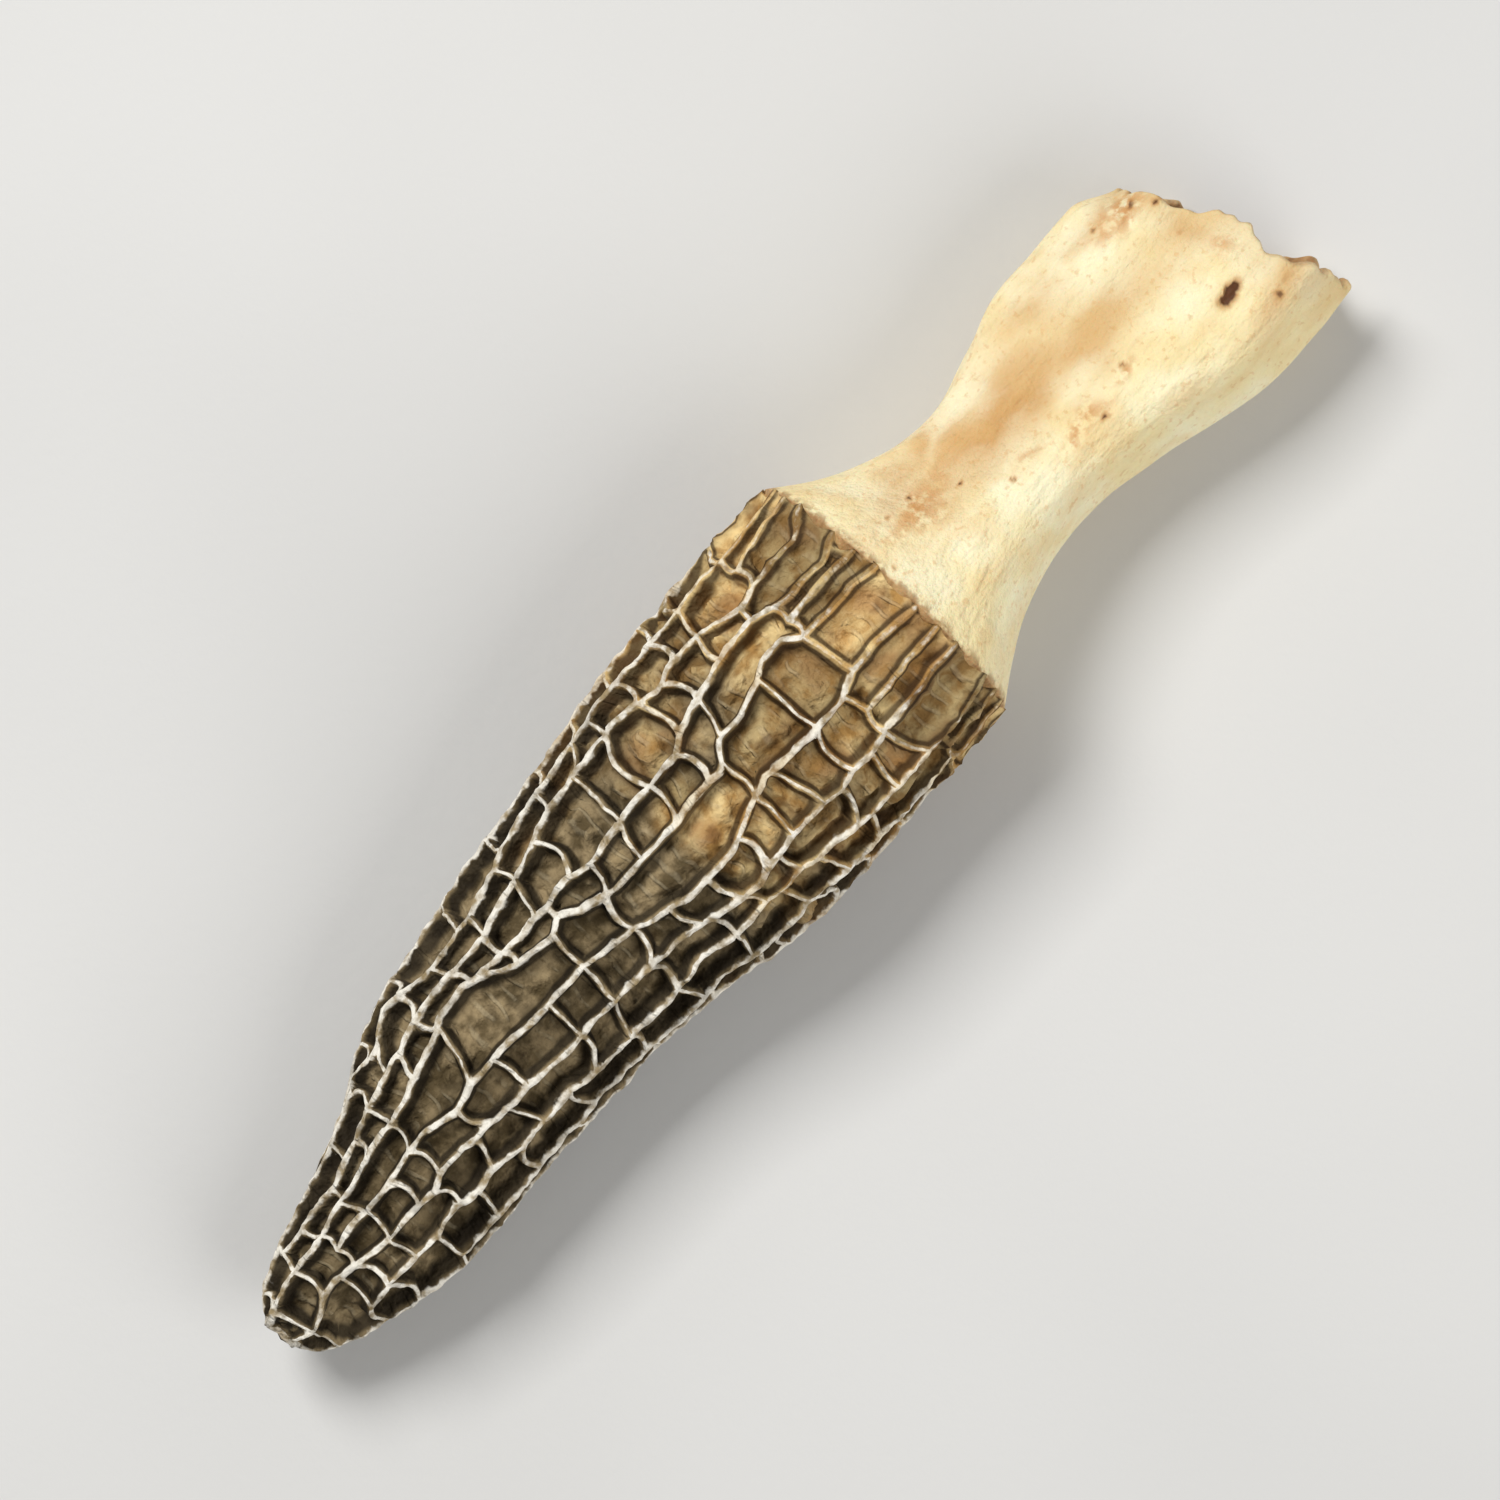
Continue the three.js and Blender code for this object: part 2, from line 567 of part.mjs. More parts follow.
// How far the stem's skin lies below its outline; share runs from 0 at the seam to 1 at the foot
function stemFolds(share, angle) {
  const near = (middle, spread) => Math.exp(-Math.pow(wrapped(angle - middle) / spread, 2));
  const body = smooth(0.03, 0.3, share);
  const valley = 1.05 * body * near(1.1 + 0.25 * share, 0.42);
  const crease = 0.45 * smooth(0.2, 0.45, share) * (1 - smooth(0.6, 0.8, share)) * near(1.72, 0.13);
  const welt = -0.4 * body * near(2.15, 0.25);
  const sideHollow = 0.8 * smooth(0.3, 0.6, share) * near(-0.75, 0.35);
  const underHollow = 0.6 * body * near(3.85, 0.45);
  const corner = 0.9 * smooth(0.9, 1, share) * near(0, 0.6);
  const flutes = 0.12 * body * Math.sin(9 * angle + 3 * share);
  return valley + crease + welt + sideHollow + underHollow + corner + flutes;
}

// Distance from the tip at which the torn foot ends, on each side of the stem
function footEnd(angle) {
  const side = Math.cos(angle);
  const tear = 0.35 * Math.sin(5 * angle + 0.6) + 0.25 * Math.sin(8 * angle + 2);
  return LENGTH - 2 - FOOT_SLANT * side - FOOT_CORNER * Math.pow(Math.max(0, side), 3) + tear;
}

function stemPoint(share, angle, depth) {
  const top = STEM_OUTLINE[0][0];
  const even = mix(top, LENGTH, share);
  const [, width, height, shift, lift] = section(STEM_OUTLINE, placeOf(STEM_OUTLINE, even));
  const sink = depth + stemFolds(share, angle);
  const wave = 0.3 * smooth(0.6, 1, share) * Math.sin(3 * angle + 0.8);
  return new THREE.Vector3(
    mix(top, footEnd(angle), share) + seamShift(angle, even - top),
    shift + (width - sink) * Math.cos(angle),
    lift + (height - sink + wave) * Math.sin(angle),
  );
}

// The stem's wall is as thick as the cap's at the seam, and thinnest at the foot
function stemWall(share) {
  const thin = mix(STEM_WALL, LIP_WALL, smooth(0.75, 1, share));
  return mix(PIT_DEPTH + CAP_WALL, thin, smooth(0, 0.25, share));
}

function stemGeometry() {
  const skin = new Skin();
  const ring = (share, depth, beyond = 0) =>
    Array.from({ length: STEM_SIDES }, (_, i) => {
      const point = stemPoint(share, (TURN * i) / STEM_SIDES, depth);
      point.x += beyond;
      return skin.vertex(point, "", Math.min(depth, LIP_WALL));
    });
  const shares = Array.from({ length: STEM_RINGS + 1 }, (_, n) => n / STEM_RINGS);
  const outside = shares.map((share) => ring(share, 0));
  const lip = ring(1, LIP_WALL / 2, 0.25);
  const inside = shares.map((share) => ring(share, stemWall(share))).reverse();
  const rings = [...outside, lip, ...inside, outside[0]];
  for (let n = 1; n < rings.length; n++) skin.strip(rings[n], rings[n - 1]);
  return skin.geometry();
}

function piece(name, geometry, color, roughness) {
  const material = new THREE.MeshStandardMaterial({ color, roughness, metalness: 0, flatShading: true });
  const mesh = new THREE.Mesh(geometry, material);
  mesh.name = name;
  return mesh;
}

const morel = new THREE.Group();
morel.add(piece("cap", capGeometry(), "#5f5035", 0.85));
morel.add(piece("stem", stemGeometry(), "#e6cf9f", 0.75));

export default morel;
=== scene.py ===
# Looks of the dried morel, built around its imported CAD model.
# Lengths are in millimetres until a mesh is made. A place is given as in the CAD source: by its distance
# from the tip along X, and by its angle round the mushroom, where 0 faces +Y and a quarter turn faces up.
import math

import bpy
import numpy as np
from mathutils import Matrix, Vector, noise
from mathutils.geometry import delaunay_2d_cdt


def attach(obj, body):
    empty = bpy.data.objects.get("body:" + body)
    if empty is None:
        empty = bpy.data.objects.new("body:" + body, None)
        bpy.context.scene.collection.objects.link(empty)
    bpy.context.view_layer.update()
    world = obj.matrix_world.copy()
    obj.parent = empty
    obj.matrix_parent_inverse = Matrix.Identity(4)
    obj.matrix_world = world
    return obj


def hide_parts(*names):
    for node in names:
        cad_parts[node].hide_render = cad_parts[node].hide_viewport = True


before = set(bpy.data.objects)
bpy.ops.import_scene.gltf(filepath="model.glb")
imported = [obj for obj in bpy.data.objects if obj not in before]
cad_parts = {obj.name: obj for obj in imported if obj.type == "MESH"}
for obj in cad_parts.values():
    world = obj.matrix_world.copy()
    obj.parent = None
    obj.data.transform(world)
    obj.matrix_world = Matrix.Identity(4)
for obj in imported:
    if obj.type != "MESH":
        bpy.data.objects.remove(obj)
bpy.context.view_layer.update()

MM = 0.001
TURN = 2 * math.pi

# Form of the CAD solids
LENGTH = 87
MIDDLE = (43.81, -0.15)  # the origin's distance from the tip, and its sideways place
CAP_LENGTH = 55.2
SEAM_GAP = 0.3
SEAM_BULGE = 1.0  # how much further the seam reaches towards the foot on top than at the sides
SEAM_REACH = 6  # distance from the seam over which that bulge fades away
CAP_WALL = 0.9  # flesh left under a full pit
PIT_DEPTH = 1.5  # deepest pit, below the ridges round it
SHALLOWEST_PIT = 0.45
DEPTH_PER_SIZE = 1.9  # depth of a pit, as a share of its area over its outline's length
CAP_HOLLOW_END = 7  # distance from the tip to the end of the hollow
STEM_WALL = 1.0
LIP_WALL = 0.8  # thickness at the torn foot
FOOT_SLANT = 1.9  # how much shorter the foot is on its +Y side, and longer on the other
FOOT_CORNER = 1.3  # how much more is torn away at the +Y corner

# Distance from the tip, half the width, half the height, sideways place and height of the middle
CAP_OUTLINE = [
    [0, 0, 0, -2.9, 5.2],
    [0.5, 1.7, 1.5, -2.9, 5.2],
    [2.2, 3.1, 2.8, -3.0, 5.2],
    [6, 4.3, 3.7, -3.1, 5.3],
    [11, 5.5, 4.7, -2.8, 5.5],
    [17, 6.8, 5.7, -1.3, 5.8],
    [24, 7.5, 6.2, -0.5, 5.8],
    [31, 8.1, 6.7, -0.2, 6.3],
    [39, 9.4, 7.4, -0.4, 7.0],
    [47, 9.6, 7.6, -0.1, 7.25],
    [CAP_LENGTH, 9.5, 7.4, 0, 7.5],
]
STEM_OUTLINE = [
    [CAP_LENGTH + SEAM_GAP, 9.4, 7.4, 0, 7.5],
    [58, 7.8, 6.4, 0, 7.3],
    [61, 6.4, 5.7, 0, 6.9],
    [64.5, 5.5, 5.2, 0, 6.4],
    [68, 5.4, 5.0, 0, 5.9],
    [72, 6.2, 4.9, 0.1, 5.4],
    [76, 7.2, 5.0, 0.1, 5.2],
    [80, 7.7, 5.0, -0.3, 5.05],
    [84, 7.7, 4.95, -0.3, 4.85],
    [LENGTH, 7.4, 4.9, -0.4, 4.65],
]

# The net of ridges, as in the CAD source
NET_SEED = 11
RIDGES = 18  # lengthwise ridges at the widest part
TIP_RIDGES = 6  # how many of them start at the ring round the tip
TIP_RING = 1.3  # distance of that ring from the tip, along the skin
PLEAT = 4.2  # length of the narrow pleats that end at the seam
PLAIN_EVERY = 2  # one column out of this many has no pleat
SCALLOP = 0.28  # how far the seam curves back between two ridge ends
PIT_SCATTER = 0.3  # share by which a pit's length varies
SLANT = 0.45  # how far a cross ridge runs askew at each end
CROSS_BOW = 0.2  # how far a cross ridge bows, as a share of its length
CROSS_SAG = 0.35  # how far a cross ridge dips at its middle
CREST_SCATTER = 0.12  # how much lower one junction of the net may be than another
WANDER = 0.22  # sideways scatter of a lengthwise ridge on the hidden side, as a share of a column
JOIN_WITHIN = 0.8  # cross ridges that would meet a ridge closer than this share one junction
RELAX = 0.16  # how far each junction moves to the middle of its neighbours

# Where the other lengthwise ridges start: number of the ridge, distance from the tip, and the neighbour that
# it branches from (-1 the one before it, 1 the one after), or 0 for the middle of a cross ridge
STARTS = [
    (1, 7.5, -1),
    (2, 4, 0),
    (4, 22.4, -1),
    (5, 6.5, 0),
    (7, 5, 0),
    (8, 11, 0),
    (10, 9, 1),
    (11, 4.5, 0),
    (13, 12, 0),
    (14, 5.5, -1),
    (16, 14, 0),
    (17, 5, 0),
]

# Crests on the side that faces up: distances from the tip, and sideways places
CRESTS = {
    1: (
        [13.5, 16, 17, 18.3, 20, 21.5, 24.8, 28, 31, 39, 47, 55],
        [3.9, 4.1, 4.8, 5.4, 5.4, 5.1, 5.1, 6, 6.9, 8.2, 8.4, 8.7],
    ),
    2: (
        [9, 12.4, 15.8, 18, 20.2, 25, 30.4, 33.1, 39.3, 41.5, 46.4, 49.5, 55],
        [0.7, 1.8, 2.7, 3.5, 3.8, 4, 5.3, 6.2, 6.9, 6.4, 6.7, 5.8, 6.2],
    ),
    3: (
        [5.3, 8.7, 11.8, 15.8, 18, 20.2, 22.4, 26.9, 30.4, 32.4, 38.4, 40.7, 42.9, 47.3, 49.3, 51, 55],
        [-0.9, -0.2, 0.3, 0.9, 1.8, 2.7, 2.9, 2.3, 2.7, 2.3, 2.7, 3, 3.8, 4.7, 4.9, 4.2, 4.1],
    ),
    4: (
        [22.4, 25.6, 28, 29.3, 30.4, 32.7, 37.3, 41.6, 42.9, 44.9, 46.7, 48, 49.6, 50.6, 55],
        [2.7, 1.3, 0.9, 1.7, 0.8, 0.1, 0, 0.4, 1.4, 1.7, 2.6, 3.1, 3, 2.1, 1.9],
    ),
    5: (
        [9.6, 12.4, 14.7, 16.9, 21.3, 24.7, 27.8, 31.8, 34.9, 39.1, 41.6, 43.3, 46.9, 49.1, 51, 55],
        [-1.7, -1.3, -1.1, -1.7, -1.1, -1.3, -1.5, -2.3, -3.2, -3.3, -2.3, -1.6, -2.3, -2.1, -1.6, -1.3],
    ),
    6: (
        [5, 8.2, 11.3, 15.8, 18, 23.6, 30.4, 33.6, 36, 38.4, 40.4, 43.3, 47.3, 50.2, 55],
        [-3, -3.8, -4, -3.4, -3.8, -4.2, -4.3, -4.6, -5.4, -6, -5.3, -5.6, -5.5, -5, -4.7],
    ),
    7: (
        [5.1, 9.6, 12.4, 16.9, 20.2, 22.4, 24, 30.4, 32.9, 35.3, 40.4, 43.1, 45.1, 50.4, 55],
        [-5.6, -6, -5.6, -5.8, -6.2, -5.7, -6.4, -6.5, -6.2, -6.8, -7.1, -7.4, -8, -8, -7.6],
    ),
    8: (
        [30.4, 33.1, 35.8, 41.1, 43.6, 48.2, 55],
        [-7.9, -7.9, -8.6, -8.8, -9.2, -9.3, -9],
    ),
}

# Cross ridges on that side: the two ridges that each joins, and distances from the tip
CROSSINGS = {
    (1, 2): [10.5, 13.2, 16.4, 19.3, 22.2, 25.6, 29, 33, 36.2, 38.8, 41.5, 44, 46.8, 49.8],
    (2, 3): [6, 8.6, 11.4, 14, 17, 19.5, 22.7, 26, 28.8, 31.5, 35.4, 38.5, 41.2, 43.6, 46.4, 49.4],
    (3, 5): [9.2, 13.4, 18.9],
    (3, 4): [26, 29.3, 32.4, 35.2, 38, 40.9, 43.2, 48.1, 50.8],
    (4, 5): [28.3, 31.9, 42.1, 47.2, 50.7],
    (5, 6): [9, 11.4, 13.8, 17.5, 20.6, 25.3, 28.3, 31.1, 34.2, 37, 39.5, 41.7, 44, 47, 50.3],
    (6, 7): [6.6, 9.4, 13, 16.2, 19.5, 24.3, 27.3, 30.6, 35.2, 38, 40.6, 45.3, 48.3, 50.6],
    (7, 8): [14.2, 18, 22.6, 26.6, 31.5, 35.4, 39.4, 42.3, 45.5, 48.4],
}
# Length of a pit on the other side, by its distance from the tip
PIT_LENGTHS = ([0, 8, 18, 30, 38, 56], [2, 3.6, 5.6, 4.2, 3.2, 3.2])

# Fineness of the cap's mesh
CREST_STEP = 0.25  # between points along a ridge
PIT_OFFSETS = (0.07, 0.15, 0.24, 0.34, 0.46)  # lines of points beside a ridge's middle
FLOOR_STEP = 0.36
CLOSEST = 0.06  # points nearer than this to another are left out
HOLLOW_RINGS = 14

# Section of a ridge and of the pits beside it
CREST_HALF = 0.1  # half the flat of the crest
WALL_FOOT = 0.46  # distance from the middle of a ridge to the foot of its wall
CROSS_WIDTH = (0.55, 0.9)  # narrowest and widest cross ridge, next to a lengthwise one
SCALLOP_SCATTER = 1.1  # share by which the seam's curves vary
FLOOR_BOWL = 0.14  # share of a pit's depth that its floor falls by, from the wall to the middle
SWELL = (0.25, 0.7)  # least and most that a floor swells up, as a share of the pit's depth
SWELL_PLACES = (28, 40)  # distances from the tip between which the floors begin to swell
PLEATED = (7, 2.5)  # before the seam, where ridges begin to round into pleats, and where they are round
PLEAT_DEPTH = 0.75  # depth between two pleats, as a share of a pit's
SEAM_RAMP = 1.5  # length over which the pleats run out at the seam
SEAM_DEPTH = 0.25  # share of the depth that is left there
SEAM_FRAY = 0.3  # how far the ends of the pleats reach over the stem

# Markings: distances from a ridge's middle where the pale crest ends, and where the painted shade in the
# groove at the foot of its wall begins and ends
CREST_EDGE = (0.07, 0.27)
GROOVE_SHADE_START = (0.12, 0.28)
GROOVE_SHADE_END = (0.3, 0.56)
PALE_LEAST = 0.35  # how pale the narrowest ridges are
PLEAT_PALE = 0.4  # how pale the pleats are

# Noise, in layers of (height, length of its waves, shift); the shift makes each layer a different one
RIDGE_UNEVEN = [(0.35, 3.1, 43), (0.45, 0.9, 61)]
CREST_CRINKLE = [(0.12, 1.5, 0), (0.1, 0.6, 5)]
FLOOR_CRINKLE = [(0.26, 1.7, 9), (0.12, 0.8, 13)]
SKIN_SWAY = [(0.16, 2.6, 31), (0.12, 1.1, 37)]
CREST_SWAY = [(0.07, 0.5, 41)]
CREASE_WAVES = (1.9, 21)  # length of their waves, and shift
CREASE_HALF = 0.22  # half the width of a crease, in heights of the noise
CREASE_HEIGHT = 0.26


def mix(start, end, share):
    return start + (end - start) * share


def smooth(low, high, value):
    share = np.clip((value - low) / (high - low), 0, 1)
    return share * share * (3 - 2 * share)


def wrapped(angle):
    return angle - TURN * np.round(angle / TURN)


def seeded(seed):
    """The CAD source's stream of numbers from 0 to 1."""
    state = seed

    def draw():
        nonlocal state
        state = (state + 0x6D2B79F5) & 0xFFFFFFFF
        mixed = ((state ^ (state >> 15)) * (1 | state)) & 0xFFFFFFFF
        mixed ^= (mixed + (mixed ^ (mixed >> 7)) * (61 | mixed)) & 0xFFFFFFFF
        return (mixed ^ (mixed >> 14)) / 4294967296

    return draw


def section(outline, at):
    """Rows of a smooth curve through an outline; at runs from 0 at the first row to 1 at the last."""
    rows = np.array(outline, float)
    last = len(rows) - 1
    place = np.clip(at, 0, 1) * last
    i = np.minimum(np.floor(place).astype(int), last - 1)
    f = (place - i)[..., None]
    before, start, end, after = (rows[np.clip(i + k, 0, last)] for k in (-1, 0, 1, 2))
    slope = (end - before) / 2
    slope_end = (after - start) / 2
    rise = start - end
    curve = (2 * rise + slope + slope_end) * f - 3 * rise - 2 * slope - slope_end
    return (curve * f * f + slope * f + start).T


# Distances along the cap's skin from the tip, and the places along the outline that they belong to
SKIN_PLACES = np.linspace(0, 1, 401)
skin_x, skin_width = section(CAP_OUTLINE, SKIN_PLACES)[:2]
SKIN_DISTANCES = np.concatenate([[0], np.cumsum(np.hypot(np.diff(skin_x), np.diff(skin_width)))])
SKIN_LENGTH = SKIN_DISTANCES[-1]


def place_along(s):
    return np.interp(s, SKIN_DISTANCES, SKIN_PLACES)


def skin_distance(x):
    return np.interp(x, skin_x, SKIN_DISTANCES)


def girth(s):
    _, width, height, _, _ = section(CAP_OUTLINE, place_along(s))
    return np.sqrt((width * width + height * height) / 2)


def seam_shift(angle, away):
    """How much further along X a point of the upper side lies, at a distance from the seam."""
    return SEAM_BULGE * np.maximum(0, np.sin(angle)) * (1 - smooth(0, SEAM_REACH, away))


def skin_point(at, angle):
    x, width, height, shift, lift = section(CAP_OUTLINE, at)
    x = x + seam_shift(angle, CAP_LENGTH - x)
    return np.stack([x, shift + width * np.cos(angle), lift + height * np.sin(angle)], axis=-1)


def skin_normal(s, angle):
    step = 1e-3
    at = place_along(s)
    along = skin_point(at + step, angle) - skin_point(at - step, angle)
    around = skin_point(at, angle + step) - skin_point(at, angle - step)
    normal = np.cross(around, along)
    return normal / np.linalg.norm(normal, axis=-1, keepdims=True)


def sunk_points(s, angle, depth):
    """Points on the cap, sunk straight in from the skin."""
    return skin_point(place_along(s), angle) - skin_normal(s, angle) * np.asarray(depth)[..., None]


def noise_at(points, size, shift=0.0):
    """Smooth noise from about -1 to 1; size is the length of its waves."""
    return np.array([noise.noise(Vector(p) / size + Vector((shift, 0, 0))) for p in points])


# Without a seed, noise_vector would differ from run to run
noise.seed_set(NET_SEED)


def noise_vectors(points, size, shift=0.0):
    return np.array([noise.noise_vector(Vector(p) / size + Vector((shift, 0, 0))) for p in points])


def layered(noise_of, points, layers):
    """The sum of the layers of noise_at or noise_vectors."""
    return sum(height * noise_of(points, size, shift) for height, size, shift in layers)


def ridge_line(number, draw):
    """The angle of a lengthwise ridge, as a function of the distance along the skin."""
    column = TURN / RIDGES
    even = column * number
    sway = mix(-1, 1, draw())
    slow = TURN * draw()
    quick = TURN * draw()

    def angle_at(s):
        if number not in CRESTS:
            wave = sway + math.sin(slow + s / 3.6) + 0.5 * math.sin(quick + s / 1.4)
            return even + column * WANDER * wave * smooth(0, 8, SKIN_LENGTH - s)
        xs, ys = CRESTS[number]
        x, width, _, shift, _ = section(CAP_OUTLINE, place_along(s))
        seen = math.acos(np.clip((np.interp(x, xs, ys) - shift) / width, -0.99, 0.99))
        share = smooth(xs[0] - 4, xs[0], x) * smooth(0, 1.5, SKIN_LENGTH - s)
        return mix(even, seen, share)

    return angle_at


class Net:
    """Junctions and edges of the ridges, drawn in the CAD source's order so that they match it."""

    def __init__(self):
        self.draw = seeded(NET_SEED)
        self.s = []
        self.angle = []
        self.sink = []
        self.edges = []
        self.lines = [ridge_line(k, self.draw) for k in range(RIDGES)]
        self.stops = [[] for _ in range(RIDGES)]
        self.rim = [self.stop(k, SKIN_LENGTH) for k in range(RIDGES)]
        step = RIDGES // TIP_RIDGES
        self.tip_ring = [self.stop(k, TIP_RING) for k in range(0, RIDGES, step)]
        for n, start in enumerate(self.tip_ring):
            self.join_across(start, self.tip_ring[(n + 1) % TIP_RIDGES])
        for k in range(0, RIDGES, step):
            self.column(k, k + step, TIP_RING)
        for stops, line in zip(self.stops, self.lines):
            stops.sort(key=lambda i: self.s[i])
            for a, b in zip(stops, stops[1:]):
                self.edges.append((a, b, False, 0, line))
        self.relax()

    def scatter(self, size):
        return mix(-size, size, self.draw())

    def junction(self, s, angle):
        self.s.append(float(s))
        self.angle.append(float(angle))
        self.sink.append(CREST_SCATTER * self.draw() if s < SKIN_LENGTH else 0)
        return len(self.s) - 1

    def join_across(self, a, b):
        self.edges.append((a, b, True, self.scatter(CROSS_BOW), None))

    def stop(self, number, s):
        """The junction on a lengthwise ridge at s, or the one that it already has close by."""
        stops = self.stops[number % RIDGES]
        for i in stops:
            if abs(self.s[i] - s) < JOIN_WITHIN:
                return i
        stops.append(self.junction(s, self.lines[number % RIDGES](s)))
        return stops[-1]

    def middle_of(self, a, b):
        turn = wrapped(self.angle[b] - self.angle[a])
        return self.junction((self.s[a] + self.s[b]) / 2, self.angle[a] + turn / 2)

    def cross_ridge(self, left, right, s):
        slant = self.scatter(SLANT)
        a = self.stop(left, s + slant)
        b = self.stop(right, s - slant)
        self.join_across(a, b)

    def split_ridge(self, left, right, s):
        """A cross ridge with a junction at its middle, for another ridge to start from."""
        a = self.stop(left, s + self.scatter(SLANT))
        b = self.stop(right, s + self.scatter(SLANT))
        middle = self.middle_of(a, b)
        self.join_across(a, middle)
        self.join_across(middle, b)
        return middle

    def ladder(self, left, right, start, end):
        if (left, right) in CROSSINGS:
            for s in skin_distance(CROSSINGS[left, right]):
                if start + 1 < s < end - 0.5:
                    self.cross_ridge(left, right, s)
            return
        s = start + np.interp(start, *PIT_LENGTHS) * mix(0.3, 1.3, self.draw())
        while s < end - 0.5 * np.interp(s, *PIT_LENGTHS):
            self.cross_ridge(left, right, s)
            s += np.interp(s, *PIT_LENGTHS) * (1 + self.scatter(PIT_SCATTER))

    def pleat(self, left, right):
        start = self.split_ridge(left, right, SKIN_LENGTH - PLEAT * (1 + self.scatter(0.3)))
        a, b = self.rim[left], self.rim[right % RIDGES]
        end = self.middle_of(a, b)
        self.edges.append((start, end, False, 0, None))
        self.join_across(a, end)
        self.join_across(end, b)

    def column(self, left, right, begin):
        """A column from a distance to the seam, divided in two wherever another ridge starts."""
        inner = [start for start in STARTS if left < start[0] < right]
        if not inner and left % PLAIN_EVERY:
            self.ladder(left, right, begin, SKIN_LENGTH - 1.6 * PLEAT)
            self.pleat(left, right)
            return
        if not inner:
            self.ladder(left, right, begin, SKIN_LENGTH - 0.6 * PLEAT)
            self.join_across(self.rim[left], self.rim[right % RIDGES])
            return
        number, x, side = min(inner, key=lambda start: start[1])
        start = skin_distance(x)
        self.ladder(left, right, begin, start)
        parent = left if side < 0 else right
        found = self.stop(parent, start) if side else self.split_ridge(left, right, start)
        self.stops[number].append(found)
        self.column(left, number, start)
        self.column(number, right, start)

    def relax(self):
        pull = np.zeros((len(self.s), 3))
        for a, b, *_ in self.edges:
            rise = self.s[b] - self.s[a]
            turn = wrapped(self.angle[b] - self.angle[a])
            pull[a] += (rise, turn, 1)
            pull[b] += (-rise, -turn, 1)
        for i, (rise, turn, n) in enumerate(pull):
            if self.s[i] < SKIN_LENGTH and i not in self.tip_ring:
                self.s[i] += RELAX * rise / n
                self.angle[i] += RELAX * turn / n

    def edge_points(self, index):
        """Points along an edge, both junctions included: (s, angle, sink, strength, key)."""
        a, b, across, bow, line = self.edges[index]
        rise = self.s[b] - self.s[a]
        turn = wrapped(self.angle[b] - self.angle[a])
        radius = girth((self.s[a] + self.s[b]) / 2)
        at_seam = self.s[a] >= SKIN_LENGTH and self.s[b] >= SKIN_LENGTH
        count = max(2, round(math.hypot(rise, turn * radius) / CREST_STEP))
        off = [wrapped(self.angle[i] - line(self.s[i])) for i in (a, b)] if line else None
        strength = 0 if at_seam else mix(*CROSS_WIDTH, abs(bow) / CROSS_BOW) if across else 1
        points = []
        for n in range(count + 1):
            f = n / count
            arch = 4 * f * (1 - f)
            scallop = SCALLOP * (1 + SCALLOP_SCATTER * bow / CROSS_BOW)
            s = self.s[a] + f * rise - arch * (scallop if at_seam else bow * turn * radius)
            angle = self.angle[a] + f * turn + (0 if at_seam else arch * bow * rise / radius)
            if line:
                angle = line(s) + mix(off[0], off[1], f)
            sag = arch * CROSS_SAG if across and not at_seam else 0
            sink = mix(self.sink[a], self.sink[b], f) + sag
            key = f"junction {a}" if n == 0 else f"junction {b}" if n == count else f"edge {index} {n}"
            points.append((float(s), float(angle), float(sink), strength, key))
        return points

    def loops(self):
        """Lists of points between the ridges: one for each pit, and the rings at the tip and at the seam."""
        ways = [[] for _ in self.s]
        for index, (a, b, *_) in enumerate(self.edges):
            points = self.edge_points(index)
            for start, end, path in ((a, b, points), (b, a, points[::-1])):
                turn = wrapped(path[1][1] - path[0][1]) * girth(path[0][0])
                heading = math.atan2(turn, path[1][0] - path[0][0])
                ways[start].append({"edge": index, "end": end, "path": path, "heading": heading})
        for group in ways:
            group.sort(key=lambda way: way["heading"])
        pits, rings, used = [], [], set()
        for first in (way for group in ways for way in group):
            if id(first) in used:
                continue
            loop, around, way = [], 0, first
            while id(way) not in used:
                used.add(id(way))
                loop += way["path"][:-1]
                around += wrapped(way["path"][-1][1] - way["path"][0][1])
                group = ways[way["end"]]
                back = next(i for i, other in enumerate(group) if other["edge"] == way["edge"])
                way = group[back - 1]
            (rings if abs(around) > 1 else pits).append(loop)
        return pits, rings


class Surface:
    """A growing mesh. A vertex is found again by name where two pits share it."""

    def __init__(self):
        self.points = []
        self.marks = []
        self.faces = []
        self.named = {}

    def add(self, points, marks, names=None):
        """Adds points with their marks, and returns their numbers."""
        numbers = []
        for n, (point, mark) in enumerate(zip(points, marks)):
            name = names[n] if names else None
            if name not in self.named:
                self.points.append(point)
                self.marks.append(mark)
                if name is None:
                    numbers.append(len(self.points) - 1)
                    continue
                self.named[name] = len(self.points) - 1
            numbers.append(self.named[name])
        return numbers

    def strip(self, ring, inner):
        for i, a in enumerate(ring):
            k = (i + 1) % len(ring)
            self.faces.append((a, inner[i], inner[k], ring[k]))

    def fan(self, ring, middle):
        for i, a in enumerate(ring):
            self.faces.append((a, middle, ring[(i + 1) % len(ring)]))

    def piece(self, name, mark_names, material):
        """The mesh as an object, with a float attribute for each mark."""
        mesh = bpy.data.meshes.new(name)
        points = (np.array(self.points) - (*MIDDLE, 0)) * MM
        mesh.from_pydata(points.tolist(), [], self.faces)
        mesh.shade_smooth()
        marks = np.array(self.marks, np.float32)
        for k, mark in enumerate(mark_names):
            layer = mesh.attributes.new(mark, "FLOAT", "POINT")
            layer.data.foreach_set("value", np.ascontiguousarray(marks[:, k]))
        mesh.materials.append(material)
        made = bpy.data.objects.new(name, mesh)
        bpy.context.scene.collection.objects.link(made)
        return made


